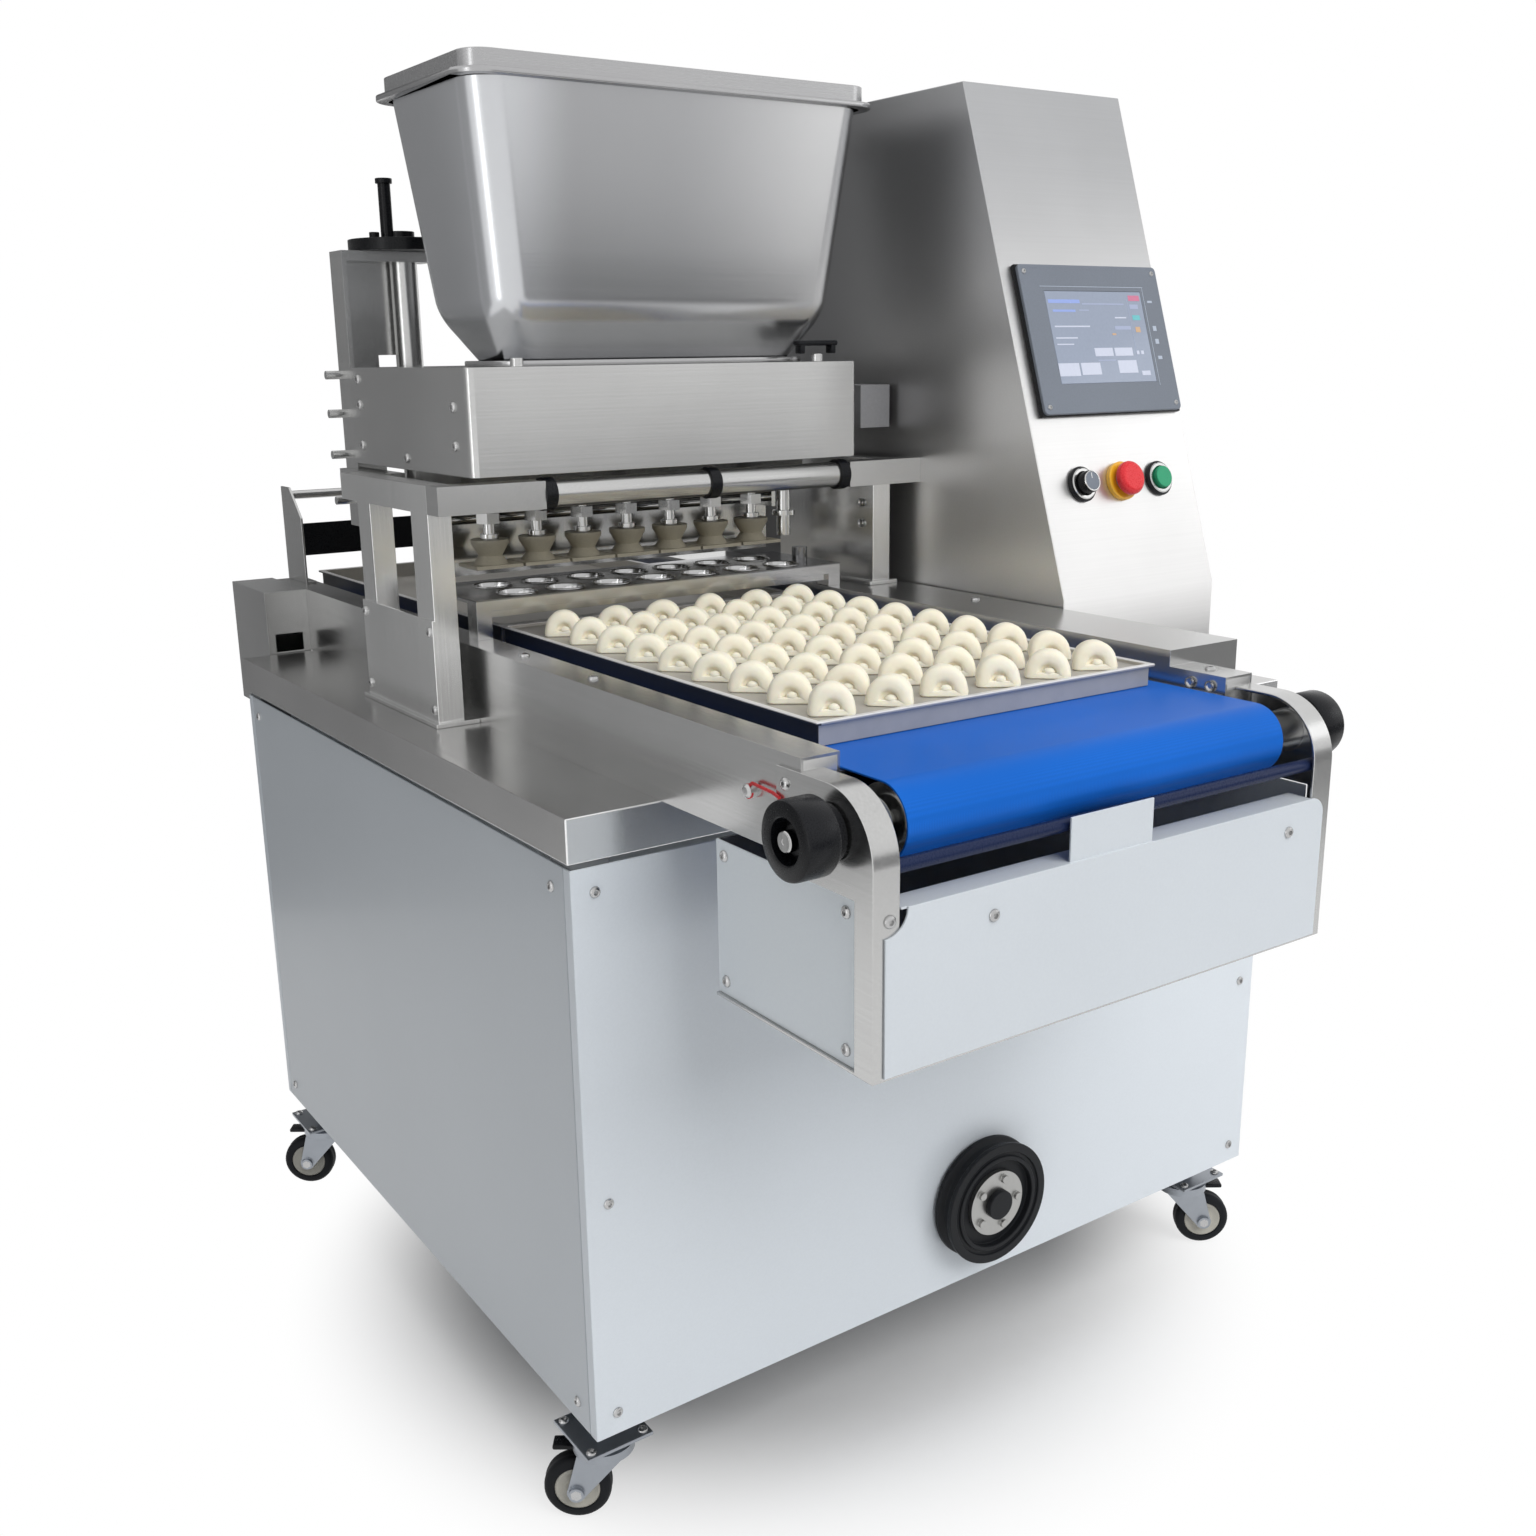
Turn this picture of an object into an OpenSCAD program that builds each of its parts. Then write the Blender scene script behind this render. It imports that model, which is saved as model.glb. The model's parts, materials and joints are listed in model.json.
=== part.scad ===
// Cookie depositor: wheeled cabinet, belt conveyor, depositing head with hopper, control column
// Millimetres, +Z up, the conveyor nose points to -Y, the origin is on the floor under the middle

/* [Overall] */
// Reach of the conveyor's rear end past the cabinet rear
rear_reach = 152; // [146:1:175]
// Reach of the conveyor nose past the cabinet front
nose_reach = 315; // [305:1:330]

/* [Cabinet] */
// Width of the cabinet over its side panels
cabinet_w = 950; // [930:5:990]
// Depth of the cabinet over its front and rear panels
cabinet_d = 925; // [900:5:930]
// Height of the panels above the floor
floor_gap = 138; // [128:1:160]
// Height of the white panels
panel_h = 585; // [540:5:640]
// Sheet thickness of the panels
panel_t = 2; // [1.5:0.1:3]
// Width of the return that the front and rear panels fold round the corner
panel_return = 13; // [10:0.5:20]
// Dark gap between the panels and the worktop skirt
shadow_gap = 6.5; // [4:0.5:12]
// Height of the worktop skirt
skirt_h = 42.5; // [36:0.5:50]
// Sheet thickness of the worktop
worktop_t = 3; // [2:0.5:5]
// Overhang of the worktop past the panels
worktop_lip = 4; // [2:0.5:8]
// Side of the square bars of the inner frame
frame_bar = 40; // [30:1:44]

/* [Casters] */
// Wheel diameter
wheel_d = 70; // [62:1:78]
// Wheel width
wheel_w = 24; // [20:1:30]
// Distance from the side panels to the swivel axes
caster_inset = 38; // [36:1:60]
// Distance from the front panel to the front swivel axes
caster_front_gap = 60; // [40:1:80]
// Distance from the rear panel to the rear swivel axes
caster_rear_gap = 38; // [36:1:60]
// Trail of the wheel behind the swivel axis
caster_trail = 28; // [20:1:32]
// Heading of the left casters' trail, measured from +X, the right ones pointing the other way
caster_heading = 145; // [0:5:355]
// Kingpin radius
kingpin_r = 6; // [5:0.5:8]
// Axle radius of the wheels
axle_r = 5; // [4:0.5:6]

/* [Front pulley] */
// Diameter of the grooved wheel
pulley_d = 142; // [125:1:160]
// Width of the grooved wheel
pulley_w = 26; // [22:1:34]
// Place of the wheel across the cabinet front
pulley_x = 20; // [-100:1:150]
// Height of the wheel axis
pulley_z = 240; // [215:1:300]
// Radius of the fixed stub axle
pulley_axle_r = 10; // [8:0.5:12]

/* [Conveyor] */
// Middle of the conveyor across the cabinet
conveyor_x = -115; // [-125:1:-105]
// Width over the outer rail faces
conveyor_w = 535; // [525:1:545]
// Width of a rail
rail_w = 38; // [34:1:42]
// Height of the left rail above the worktop
rail_h = 84; // [80:1:90]
// Height of the right box rail above the worktop
duct_h = 100; // [96:1:106]
// Reach of the right box rail past the rail face
duct_w = 62; // [56:1:64]
// Wall of the rails
rail_t = 2.5; // [2:0.1:4]
// Gap between the belt edge and the rail
belt_side_gap = 7.5; // [5:0.5:10]
// Belt thickness
belt_t = 2; // [1.5:0.1:3]
// Radius of the belt rollers
roller_r = 30; // [28:0.5:32]
// Radius of the roller shafts
shaft_r = 8; // [6:0.5:10]
// Gap between the worktop and the returning belt
return_gap = 3.7; // [2:0.1:5]

/* [Conveyor nose] */
// Height of the white covers under the nose
cover_h = 140; // [120:1:150]
// Sheet thickness of the white covers
cover_t = 2; // [1.5:0.1:3]
// Depth of the box under the nose
nose_d = 221; // [205:1:235]
// Width of the rim strip round a cheek
rim_w = 26; // [20:1:30]
// Radius of the rounded corner of a cheek
cheek_r = 57; // [45:1:60]
// Sheet thickness of the cheeks
cheek_t = 3; // [2:0.5:4]
// Diameter of the black roller knobs
knob_d = 64; // [56:1:68]
// Reach of a knob from the cheek
knob_l = 42; // [36:1:50]
// Radius of the scraper tube
scraper_r = 6; // [5:0.5:7]
// Length of the red lever
lever_l = 46; // [40:1:50]

/* [Trays] */
// Width of a baking tray
tray_w = 400; // [380:1:420]
// Length of a baking tray
tray_l = 600; // [590:1:605]
// Height of a baking tray
tray_h = 22; // [18:1:24]
// Sheet thickness of a tray
tray_t = 2; // [1.5:0.1:3]
// Distance from the cabinet front to the front edge of the tray, to the front
tray_lead = 150; // [145:1:160]
// Width of a dough roll
dough_w = 43; // [36:1:44]
// Height of a dough roll
dough_h = 29; // [24:1:30]
// Length of a dough roll
dough_l = 40; // [36:1:44]
// Turn of the rolls on the tray, in degrees
dough_turn = -38; // [-40:1:0]
// Rolls across the tray
dough_cols = 6; // [4:1:6]
// Rolls along the tray
dough_rows = 9; // [6:1:9]

/* [Cup mould] */
// Width of the mould over its ends
mould_w = 500; // [495:1:510]
// Depth of the mould
mould_d = 150; // [145:1:170]
// Height of the mould face above the belt
mould_rise = 60; // [58:1:66]
// Rim radius of a cup
cup_r = 22; // [18:0.5:24]
// Depth of a cup
cup_depth = 21; // [16:0.5:22]
// Spacing of the cups and the nozzles
nozzle_pitch = 61; // [56:0.5:62]
// Number of nozzles and of cups in a row
nozzle_count = 7; // [5:1:7]

/* [Portal] */
// Width of the portal posts
post_w = 27; // [22:1:30]
// Side of the portal beams and the cross bar
beam_h = 30; // [26:1:34]
// Depth of the front post
post_d = 46; // [40:1:52]
// Length of the portal over its posts
portal_l = 204; // [195:1:220]
// Length of the side beam
beam_l = 254; // [240:1:275]
// Gap between a rail and a post
portal_out = 15.5; // [12:0.5:18]
// Height of the screwed lower plate of the portal
portal_plate_h = 111; // [90:1:130]

/* [Depositing head] */
// Width of the head casing
head_w = 505; // [490:1:510]
// Depth of the head casing
head_d = 350; // [335:1:360]
// Height of the head casing
head_h = 112; // [106:1:125]
// Distance from the cabinet front to the head
head_setback = 360; // [355:1:365]
// Sideways place of the head beside the conveyor's middle
head_shift = -15; // [-18:1:-10]
// Wall of the head casing
head_t = 3; // [2:0.5:5]
// Radius of the feed rollers
feed_r = 30; // [26:0.5:32]
// Radius of the nozzle stems
stem_r = 7; // [6:0.5:8]
// Height of the cream nozzle tips
tip_h = 32; // [26:1:36]
// Gap between the nozzle tips and the mould face
nozzle_gap = 22; // [16:1:26]

/* [Hopper] */
// Width over the hopper flange
hopper_w = 520; // [500:1:530]
// Depth over the hopper flange
hopper_d = 258; // [245:1:270]
// Height from the head to the flange face
hopper_h = 286; // [260:1:300]
// Wall of the hopper
hopper_t = 3; // [2:0.5:5]
// Height of the lid
lid_h = 18; // [14:1:24]
// Distance of the lid from the flange edge
lid_inset = 10; // [6:1:14]

/* [Lift] */
// Radius of the round lift guides
guide_r = 16.5; // [15:0.5:18]
// Height of the lift column above its foot
lift_h = 326; // [310:1:340]
// Radius of the handwheel
handwheel_r = 64; // [54:1:70]
// Radius of the lifting screw
screw_r = 8; // [6:0.5:9]

/* [Control column] */
// Width of the column
column_w = 255; // [248:1:258]
// Height of the column above the worktop
column_h = 685; // [660:1:720]
// Height of the upright part of the column front
column_kick_h = 108; // [104:1:120]
// Distance from the cabinet front to the column's upright front
column_setback = 100; // [90:1:115]
// How far the column front leans back
column_lean = 190; // [170:1:205]
// Depth of the column at its top
column_top_d = 520; // [480:1:560]
// Wall of the column
column_t = 2.5; // [2:0.1:4]

/* [Controls] */
// Width of the display bezel
hmi_w = 230; // [210:1:236]
// Height of the display bezel
hmi_h = 177; // [160:1:190]
// Thickness of the display bezel
hmi_t = 10; // [8:0.5:14]
// Width of the screen
screen_w = 160; // [140:1:180]
// Height of the screen
screen_h = 110; // [100:1:125]
// Spacing of the buttons
button_pitch = 65; // [58:1:70]
// Radius of the emergency stop head
estop_r = 20; // [18:0.5:22]
// Travel of the emergency stop
estop_travel = 5; // [4:0.5:6]
// Radius of the start button cap
start_r = 13; // [11:0.5:15]
// Travel of the start button
start_travel = 3; // [2:0.5:4]
// Radius of the selector knob
selector_r = 13; // [11:0.5:15]

/* [Fits] */
// Radial running fit of a pin in its bore
fit = 0.05; // [0.02:0.01:0.1]
// Gap between moving pieces
clear = 0.3; // [0.2:0.05:0.5]

/* [Hidden] */
$fn = 48;
// Overrun of every cut
over = 1;
// Directions that a screw or a button faces
LEFT = [0, -90, 0];
RIGHT = [0, 90, 0];
FRONT = [90, 0, 0];
REAR = [-90, 0, 0];
UP = [0, 0, 0];

// Screw heads
head_screw_r = 5.5;
head_screw_h = 3;
dome_h = 1.6;
crown_share = 0.55;
panel_inset = 24;
panel_mid_share = 0.43;
cover_inset = 13;

// Planes of the cabinet
overall_l = head_screw_h + nose_reach + cabinet_d + rear_reach;
front_y = head_screw_h - overall_l / 2;
rear_y = overall_l / 2;
cab_front = front_y + nose_reach;
cab_rear = cab_front + cabinet_d;
cab_side = cabinet_w / 2;
panel_top = floor_gap + panel_h;
top_z = panel_top + shadow_gap + skirt_h;
frame_side = cab_side - panel_t;
frame_front = cab_front + panel_t;
frame_rear = cab_rear - panel_t;
frame_top = top_z - worktop_t;
seam = 1;
gland_x = 250;
gland_up = 120;
gland_z = floor_gap + gland_up;
gland_r = 12;
gland_bore_r = 6.5;
gland_flange_r = 17;
gland_flange_t = 6;
gland_l = 26;

// Casters
wheel_r = wheel_d / 2;
caster_plate_w = 75;
caster_plate_t = 4;
caster_pad_w = 44;
caster_pad_in = 12;
race_r = 25;
race_h = 8;
crown_r = 32;
crown_t = 10;
crown_gap = 10;
crown_front_share = 0.75;
crown_back_share = 0.81;
leg_t = 4;
leg_gap = 1.5;
leg_r = 10;
LEG_TURN_SHARES = [0.58, 0.815];
nut_r = 8;
nut_h = 4;
tyre_t = 11;
tyre_round = 4;
rim_recess = 3;
hub_r = 11;
crown_low = wheel_d + crown_gap;
crown_top = crown_low + crown_t;
race_z = crown_top + clear;
caster_plate_z = race_z + race_h;
caster_pad_z = caster_plate_z + caster_plate_t;
caster_x = cab_side - caster_inset;
caster_front = cab_front + caster_front_gap;
caster_rear = cab_rear - caster_rear_gap;
CASTERS = [[-caster_x, caster_front], [caster_x, caster_front],
    [-caster_x, caster_rear], [caster_x, caster_rear]];

// Front pulley, its depths counted outward from the cabinet front
pulley_r = pulley_d / 2;
pulley_gap = 4;
pulley_rim_t = 20;
pulley_web_t = 10;
groove_d = 6;
groove_w = 8;
face_groove_d = 3;
pulley_seat_r = 22;
hub_flange_r = 38;
hub_flange_t = 6;
hub_bolt_count = 5;
hub_bolt_circle_r = 29;
hub_bolt_r = 4.5;
hub_bolt_h = 4;
cap_r = 17;
cap_t = 7;
axle_end_gap = 2;
pulley_back = cab_front - pulley_gap;
pulley_face = pulley_back - pulley_w;
web_face = pulley_back - (pulley_w + pulley_web_t) / 2;
hub_face = web_face - hub_flange_t;

// Conveyor
rail_left = conveyor_x - conveyor_w / 2;
rail_right = conveyor_x + conveyor_w / 2;
inner_left = rail_left + rail_w;
inner_right = rail_right - rail_w;
belt_w = inner_right - inner_left - 2 * belt_side_gap;
nose_axis_back = 53;
nose_axis_y = front_y + nose_axis_back;
axis_z = top_z + return_gap + belt_t + clear + roller_r;
belt_in_r = roller_r + clear;
belt_out_r = belt_in_r + belt_t;
belt_top = axis_z + belt_out_r;
rail_top = top_z + rail_h;
duct_top = top_z + duct_h;
rail_end_gap = 13;
rail_front = nose_axis_y + roller_r + rail_end_gap;
rail_tail_gap = 20;
rail_rear = rear_y - rail_tail_gap;
tail_axis_back = 60;
tail_axis_y = rear_y - tail_axis_back;
duct_nose = 69;
RAIL_SCREW_SHARES = [0.25, 0.6];
duct_front = rail_front + duct_nose;
duct_rear = cab_rear;
duct_right = rail_right + duct_w;
bed_t = 3;
bed_end_gap = 5;
roller_margin = 2;
roller_l = belt_w - 2 * roller_margin;

// Conveyor nose
cheek_front = front_y + cover_t;
cheek_rise = 5;
cheek_top = belt_top + cheek_rise;
side_drop = 12;
side_top = top_z - side_drop;
cheek_bottom = side_top - cover_h - cheek_t;
cheek_strip = 23;
cheek_lap = 30;
cheek_rear = rail_front + cheek_lap;
nose_rear = front_y + nose_d;
boss_r = 20;
boss_gap = 6;
front_cover_side = 7.5;
front_cover_low = 3;
front_cover_drop = 4;
front_cover_top = side_top - front_cover_drop;
notch_r = 22;
corner_r = 16;
cover_return = 25;
COVER_SCREW_SHARES = [-0.282, 0.394];
tab_w = 97;
tab_off = -18;
tab_h = 38;
scraper_back = 13;
scraper_y = front_y + scraper_back;
scraper_drop = 23;
scraper_z = axis_z - scraper_drop;
knob_gap = 2;
knob_collar_share = 0.72;
knob_collar_l = 10;
knob_round = 4;
nut_face_r = 11;
nut_face_h = 5;
lever_back = 66;
lever_up = 44;
lever_y = rail_front + lever_back;
lever_z = top_z + lever_up;
lever_eye_r = 7;
lever_t = 3;
lever_bar_h = 6;
lever_tip_h = 9;
lever_tip_l = 12;
lever_pin_r = 3;
lever_pin_head = 6;
lever_out = rail_left - cheek_t - clear - lever_t;

// Trays and dough
tray_z = belt_top + clear;
tray_front = cab_front - tray_lead;
tray_bead_w = 4;
tray_bead_h = 3;
tray_lip = 4;
tray_deck = tray_z + tray_h - tray_lip;
tray_gap = 10;
infeed_front = tray_front + tray_l + tray_gap;
dough_pitch_x = 64;
dough_pitch_y = 61.5;
dough_lead = 15;
dough_end_share = 0.8;
dough_end_l_share = 0.22;
dough_float = 0.2;

// Cup mould
mould_top = belt_top + mould_rise;
mould_back = 52;
mould_front = cab_front + head_setback + mould_back;
mould_plate_t = 5;
mould_skirt_t = 3;
mould_skirt_h = 13;
mould_foot_d = 24;
mould_foot_w = 18;
mould_bar_h = 8;
mould_bar_d = 14;
mould_bar_back = 5;
cup_t = 2;
cup_floor_share = 0.78;
cup_row_inset = 36;
cup_row_pitch = 66;
mould_knob_r = 10;
mould_knob_h = 14;

// Infeed end
guard_d = 75;
guard_front = rail_rear - guard_d;
guard_t = 3;
guard_h = 90;
guard_tip_h = 40;
guard_tip_d = 34;
guard_foot_w = 24;
guard_foot_t = 3;
guard_rod_r = 6;
guard_rod_drop = 12;
guard_panel_t = 3;
guard_panel_low = 34;
guard_panel_h = 45;
rear_box_w = 57.5;
rear_box_low = 82;
rear_box_gap = 3;
rear_box_front = cab_rear + worktop_lip + rear_box_gap;
rear_box_t = 2;
slot_inset = 10;
slot_h = 24;
shaft_window_r = 14;

// Depositing head
tip_bottom = mould_top + nozzle_gap;
stem_show = 52;
manifold_h = 30;
manifold_d = 62;
tip_top = tip_bottom + tip_h;
manifold_z = tip_top + stem_show;
head_z = manifold_z + manifold_h;
head_top = head_z + head_h;
head_x = conveyor_x + head_shift;
head_left = head_x - head_w / 2;
head_right = head_x + head_w / 2;
head_front = cab_front + head_setback;
head_rear = head_front + head_d;
head_corner_r = 9;
nozzle_y = mould_front + cup_row_inset + cup_row_pitch;
nut_flat_r = 15;
nut_t = 12;
nut_drop = 34;
stem_collar_r = 11;
stem_collar_t = 6;
tip_r = 22;
tip_waist_r = 14;
tip_foot_r = 20;
tip_bore_r = 5;
tip_foot_gap = 3;
tip_foot_d = 52;
tip_foot_t = 4;
tip_waist_share = 0.42;
tip_lip_share = 0.14;
guide_tube_r = 9;
guide_tube_foot = 6;
back_bar_r = 6;
back_bar_off = 45;
BACK_BAR_SHARES = [0.2, 0.62];
bracket_t = 6;
bracket_drop = 44;
back_sheet_t = 3;
back_sheet_drop = 100;
feed_nip = 4;
feed_back = 111;
feed_y = head_front + feed_back;
feed_z = head_z + head_h / 2;
feed_end_gap = 2;
feed_boss_l = 9;
feed_boss_r = 14;
feed_slot_w = 26;
feed_slot_share = 0.86;
inlet_share = 0.9;
carriage_w = 62;
carriage_h = 62;
carriage_low = 16;
clamp_r = 7;
clamp_h = 9;
clamp_off = 196;
HEAD_REAR_SHARES = [0.2, 0.62, 0.88];
HEAD_FRONT_SHARES = [0.28, 0.64];

// Gear motor
motor_tube_r = 14;
motor_tube_l = 44;
gearbox_l = 46;
motor_gap = 7.5;
gearbox_d = 58;
gearbox_h = 52;
motor_r = 23;
motor_l = 84;
motor_cap_r = 18;
motor_cap_l = 8;

// Portal
head_gap = 6.3;
beam_z = head_z - head_gap - beam_h;
post_back = 26;
post_front = head_front + post_back;
mould_gap = 8;
post_left = min(rail_left - portal_out, conveyor_x - mould_w / 2 - mould_gap);
post_right = max(rail_right + portal_out, conveyor_x + mould_w / 2 + mould_gap);
rear_post_d = 38;
base_t = 5;
base_out = 8;
base_margin = 6;
portal_plate_t = 3;
bar_front = post_front - beam_h;
collar_r = 18;
collar_w = 14;
COLLAR_SHARES = [-0.335, 0.058, 0.405];

// Hopper
flange_t = 6;
flange_edge = 12;
hopper_back = 18;
hopper_y = head_front + hopper_d / 2 - hopper_back;
hopper_rim_z = head_top + hopper_h;
hopper_corner_r = 36;
knee_rise = 55;
knee_w = 442;
knee_d = 184;
outlet_w = 380;
outlet_d = 112;
foot_edge = 12;
foot_t = 6;
lid_t = 2;
column_top_z = top_z + column_h;

// Lift
lift_back = 26;
lift_y = head_rear + lift_back;
lift_reach = 108;
lift_x = post_left + lift_reach;
lift_mirror_x = post_right - lift_reach;
lift_step = 23;
lift_web_gap = 4;
lift_web_room = 48;
lift_lap = 60;
lift_foot = 43;
lift_z = beam_z - lift_foot;
lift_top = lift_z + lift_h;
lift_plate_t = 6;
lift_front_gap = 5;
lift_d = 40;
bridge_t = 12;
lift_shelf_z = beam_z;
guide_wall = 5;
short_guide_h = 172;
stud_r = 5;
stud_l = 24;
STUD_SHARES = [0.1, 0.27, 0.42, 0.56];
wheel_disc_t = 14;
wheel_rim_w = 10;
wheel_web_t = 6;
wheel_hub_r = 16;
wheel_hub_h = 24;
grip_r = 10;
grip_waist_r = 7.5;
grip_h = 84;
grip_circle_share = 0.3;
grip_cap_h = 6;
grip_heading = 190;
small_knob_r = 6;
small_knob_h = 22;
small_knob_circle_share = 0.58;
screw_foot_gap = 8;

// Control column
duct_gap = 5.5;
column_left = max(head_right + motor_tube_l + gearbox_l + motor_gap, duct_right + duct_gap);
column_front = cab_front + column_setback;
column_kick_z = top_z + column_kick_h;
column_top_front = column_front + column_lean;
column_rear = column_top_front + column_top_d;
lean_h = column_h - column_kick_h;
lean_a = atan2(column_lean, lean_h);
panel_x = column_left + column_w / 2;
hmi_up = 302;
hmi_shift = 6;
hmi_x = panel_x + hmi_shift;
hmi_corner_r = 6;
hmi_pocket_d = 2.5;
screen_up = 2;
button_up = 132;
bezel_r = 21;
bezel_h = 7;
estop_collar_r = 23;
estop_stem_r = 9;
estop_head_h = 11;
estop_crown_h = 4;
estop_rise = 15;
cap_proud = 5;
cap_floor = 1.5;
selector_body_h = 9;
grip_bar_w = 9;
grip_bar_h = 9;

// A block between two corners
module block(low, high) {
    translate(low) cube(high - low);
}
// A round bar along X, Y or Z from a start point
module bar_x(at, l, r) {
    translate(at) rotate(RIGHT) cylinder(h = l, r = r);
}
module bar_y(at, l, r) {
    translate(at) rotate(REAR) cylinder(h = l, r = r);
}
module bar_z(at, l, r) {
    translate(at) cylinder(h = l, r = r);
}
// A flat plate with its outline in Y and Z, from x and l thick along X
module plate_yz(x, l) {
    translate([x, 0, 0]) rotate([90, 0, 90]) linear_extrude(l) children();
}
// A rounded rectangle about its middle
module rounded(w, d, r) {
    square([w - 2 * r, d], center = true);
    square([w, d - 2 * r], center = true);
    for (sx = [-1, 1], sy = [-1, 1]) {
        translate([sx * (w / 2 - r), sy * (d / 2 - r)]) circle(r);
    }
}
// A domed screw head that faces the given way
module screw(at, turn) {
    translate(at) rotate(turn) {
        cylinder(h = head_screw_h - dome_h, r = head_screw_r);
        translate([0, 0, head_screw_h - dome_h])
            cylinder(h = dome_h, r1 = head_screw_r, r2 = head_screw_r * crown_share);
    }
}
// The children and their mirror image about the conveyor's middle
module both_sides() {
    children();
    translate([2 * conveyor_x, 0, 0]) mirror([1, 0, 0]) children();
}
// The plane of the leaning column front: X across, Z up the slope, -Y outward
module on_slope(x, up) {
    translate([x, column_front, column_kick_z]) rotate([-lean_a, 0, 0]) translate([0, 0, up]) children();
}

module base_frame() {
    color("slategray") {
        for (sx = [-1, 1], y = [frame_front, frame_rear - frame_bar]) {
            block([sx * frame_side - (sx + 1) / 2 * frame_bar, y, floor_gap],
                [sx * frame_side + (1 - sx) / 2 * frame_bar, y + frame_bar, frame_top]);
        }
        for (z = [floor_gap, frame_top - frame_bar]) {
            difference() {
                block([-frame_side, frame_front, z], [frame_side, frame_rear, z + frame_bar]);
                block([frame_bar - frame_side, frame_front + frame_bar, z - over],
                    [frame_side - frame_bar, frame_rear - frame_bar, z + frame_bar + over]);
            }
        }
        block([-frame_side, frame_front, pulley_z - frame_bar / 2],
            [frame_side, frame_front + frame_bar, pulley_z + frame_bar / 2]);
        translate([pulley_x, frame_front, pulley_z]) rotate(FRONT)
            cylinder(h = frame_front - web_face - axle_end_gap, r = pulley_axle_r);
    }
}

// A panel that folds round both corners, its face at y and its returns running along way
module wrap_panel(y, way) {
    face_low = min(y, y + way * panel_t);
    fold_low = min(y, y + way * panel_return);
    block([-cab_side, face_low, floor_gap], [cab_side, face_low + panel_t, panel_top]);
    for (x = [-cab_side, cab_side - panel_t]) {
        block([x, fold_low, floor_gap], [x + panel_t, fold_low + panel_return, panel_top]);
    }
}
module front_panel() {
    color("ghostwhite") difference() {
        wrap_panel(cab_front, 1);
        bar_y([pulley_x, cab_front - over, pulley_z], panel_t + 2 * over, pulley_axle_r + over);
    }
}
module rear_panel() {
    color("ghostwhite") difference() {
        wrap_panel(cab_rear, -1);
        bar_y([gland_x, cab_rear - panel_t - over, gland_z], panel_t + 2 * over, gland_r + fit);
    }
}
module side_panel(x) {
    block([x, cab_front + panel_return + seam, floor_gap],
        [x + panel_t, cab_rear - panel_return - seam, panel_top]);
}
module left_panel() {
    color("ghostwhite") side_panel(-cab_side);
}
module right_panel() {
    color("ghostwhite") side_panel(cab_side - panel_t);
}
module worktop() {
    side = cab_side + worktop_lip;
    color("silver") difference() {
        block([-side, cab_front - worktop_lip, top_z - skirt_h], [side, cab_rear + worktop_lip, top_z]);
        block([worktop_t - side, cab_front - worktop_lip + worktop_t, top_z - skirt_h - over],
            [side - worktop_t, cab_rear + worktop_lip - worktop_t, top_z - worktop_t]);
    }
}
module cable_gland() {
    color("black") difference() {
        union() {
            bar_y([gland_x, cab_rear, gland_z], gland_flange_t, gland_flange_r);
            bar_y([gland_x, cab_rear - panel_t, gland_z], gland_l, gland_r);
        }
        bar_y([gland_x, cab_rear - panel_t - over, gland_z], gland_l + 2 * over, gland_bore_r);
    }
}

// Every fixed screw, by the piece that it holds
module cabinet_screws() {
    heights = [floor_gap + panel_inset, floor_gap + panel_h * panel_mid_share, panel_top - panel_inset];
    for (x = [-1, 1] * (cab_side - panel_inset), z = heights) {
        screw([x, cab_front, z], FRONT);
    }
    for (y = [cab_front + panel_return + panel_inset, cab_rear - panel_return - panel_inset]) {
        for (z = [floor_gap + panel_inset, panel_top - panel_inset]) {
            screw([-cab_side, y, z], LEFT);
            screw([cab_side, y, z], RIGHT);
        }
    }
    for (x = [-1, 1] * (cab_side - panel_inset), z = [floor_gap + panel_inset, panel_top - panel_inset]) {
        screw([x, cab_rear, z], REAR);
    }
}
module nose_screws() {
    low = cheek_bottom + cheek_t + cover_inset;
    both_sides() {
        for (y = [cheek_front + cheek_strip + cover_inset, nose_rear - cover_inset]) {
            for (z = [low, side_top - cover_inset]) {
                screw([rail_left, y, z], LEFT);
            }
        }
        screw([rail_left - cheek_t, cheek_rear - cover_inset, cheek_top - cover_inset], LEFT);
        screw([rail_left - cheek_t, cheek_rear - cover_inset, top_z + cover_inset], LEFT);
    }
    screw([rail_left + cover_inset, cheek_front, side_top - cover_inset], FRONT);
    for (share = COVER_SCREW_SHARES) {
        screw([conveyor_x + conveyor_w * share, front_y, front_cover_top - 2 * cover_inset], FRONT);
    }
}
module rail_screws() {
    for (y = [cab_front + tray_lead, cab_front + 2 * tray_lead]) {
        screw([rail_left + rail_w / 2, y, rail_top], UP);
    }
    screw([rail_right - rail_w / 2, rail_front + duct_nose / 2, rail_top], UP);
    for (share = RAIL_SCREW_SHARES) {
        screw([inner_right, rail_front + duct_nose * share, rail_top - 2 * head_screw_r], LEFT);
    }
    screw([rail_right + duct_w / 2, head_front - tray_lead, duct_top], UP);
}
module portal_screws() {
    plate_left = post_left - post_w - portal_plate_t;
    for (y = [post_front + base_out, post_front + portal_l - base_out]) {
        for (z = [top_z + base_t + cover_inset, top_z + base_t + portal_plate_h - cover_inset]) {
            screw([plate_left, y, z], LEFT);
        }
    }
    for (z = [beam_z - 2 * cover_inset, beam_z - 4 * cover_inset]) {
        screw([post_right, post_front + post_d / 2, z], LEFT);
    }
}
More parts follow.
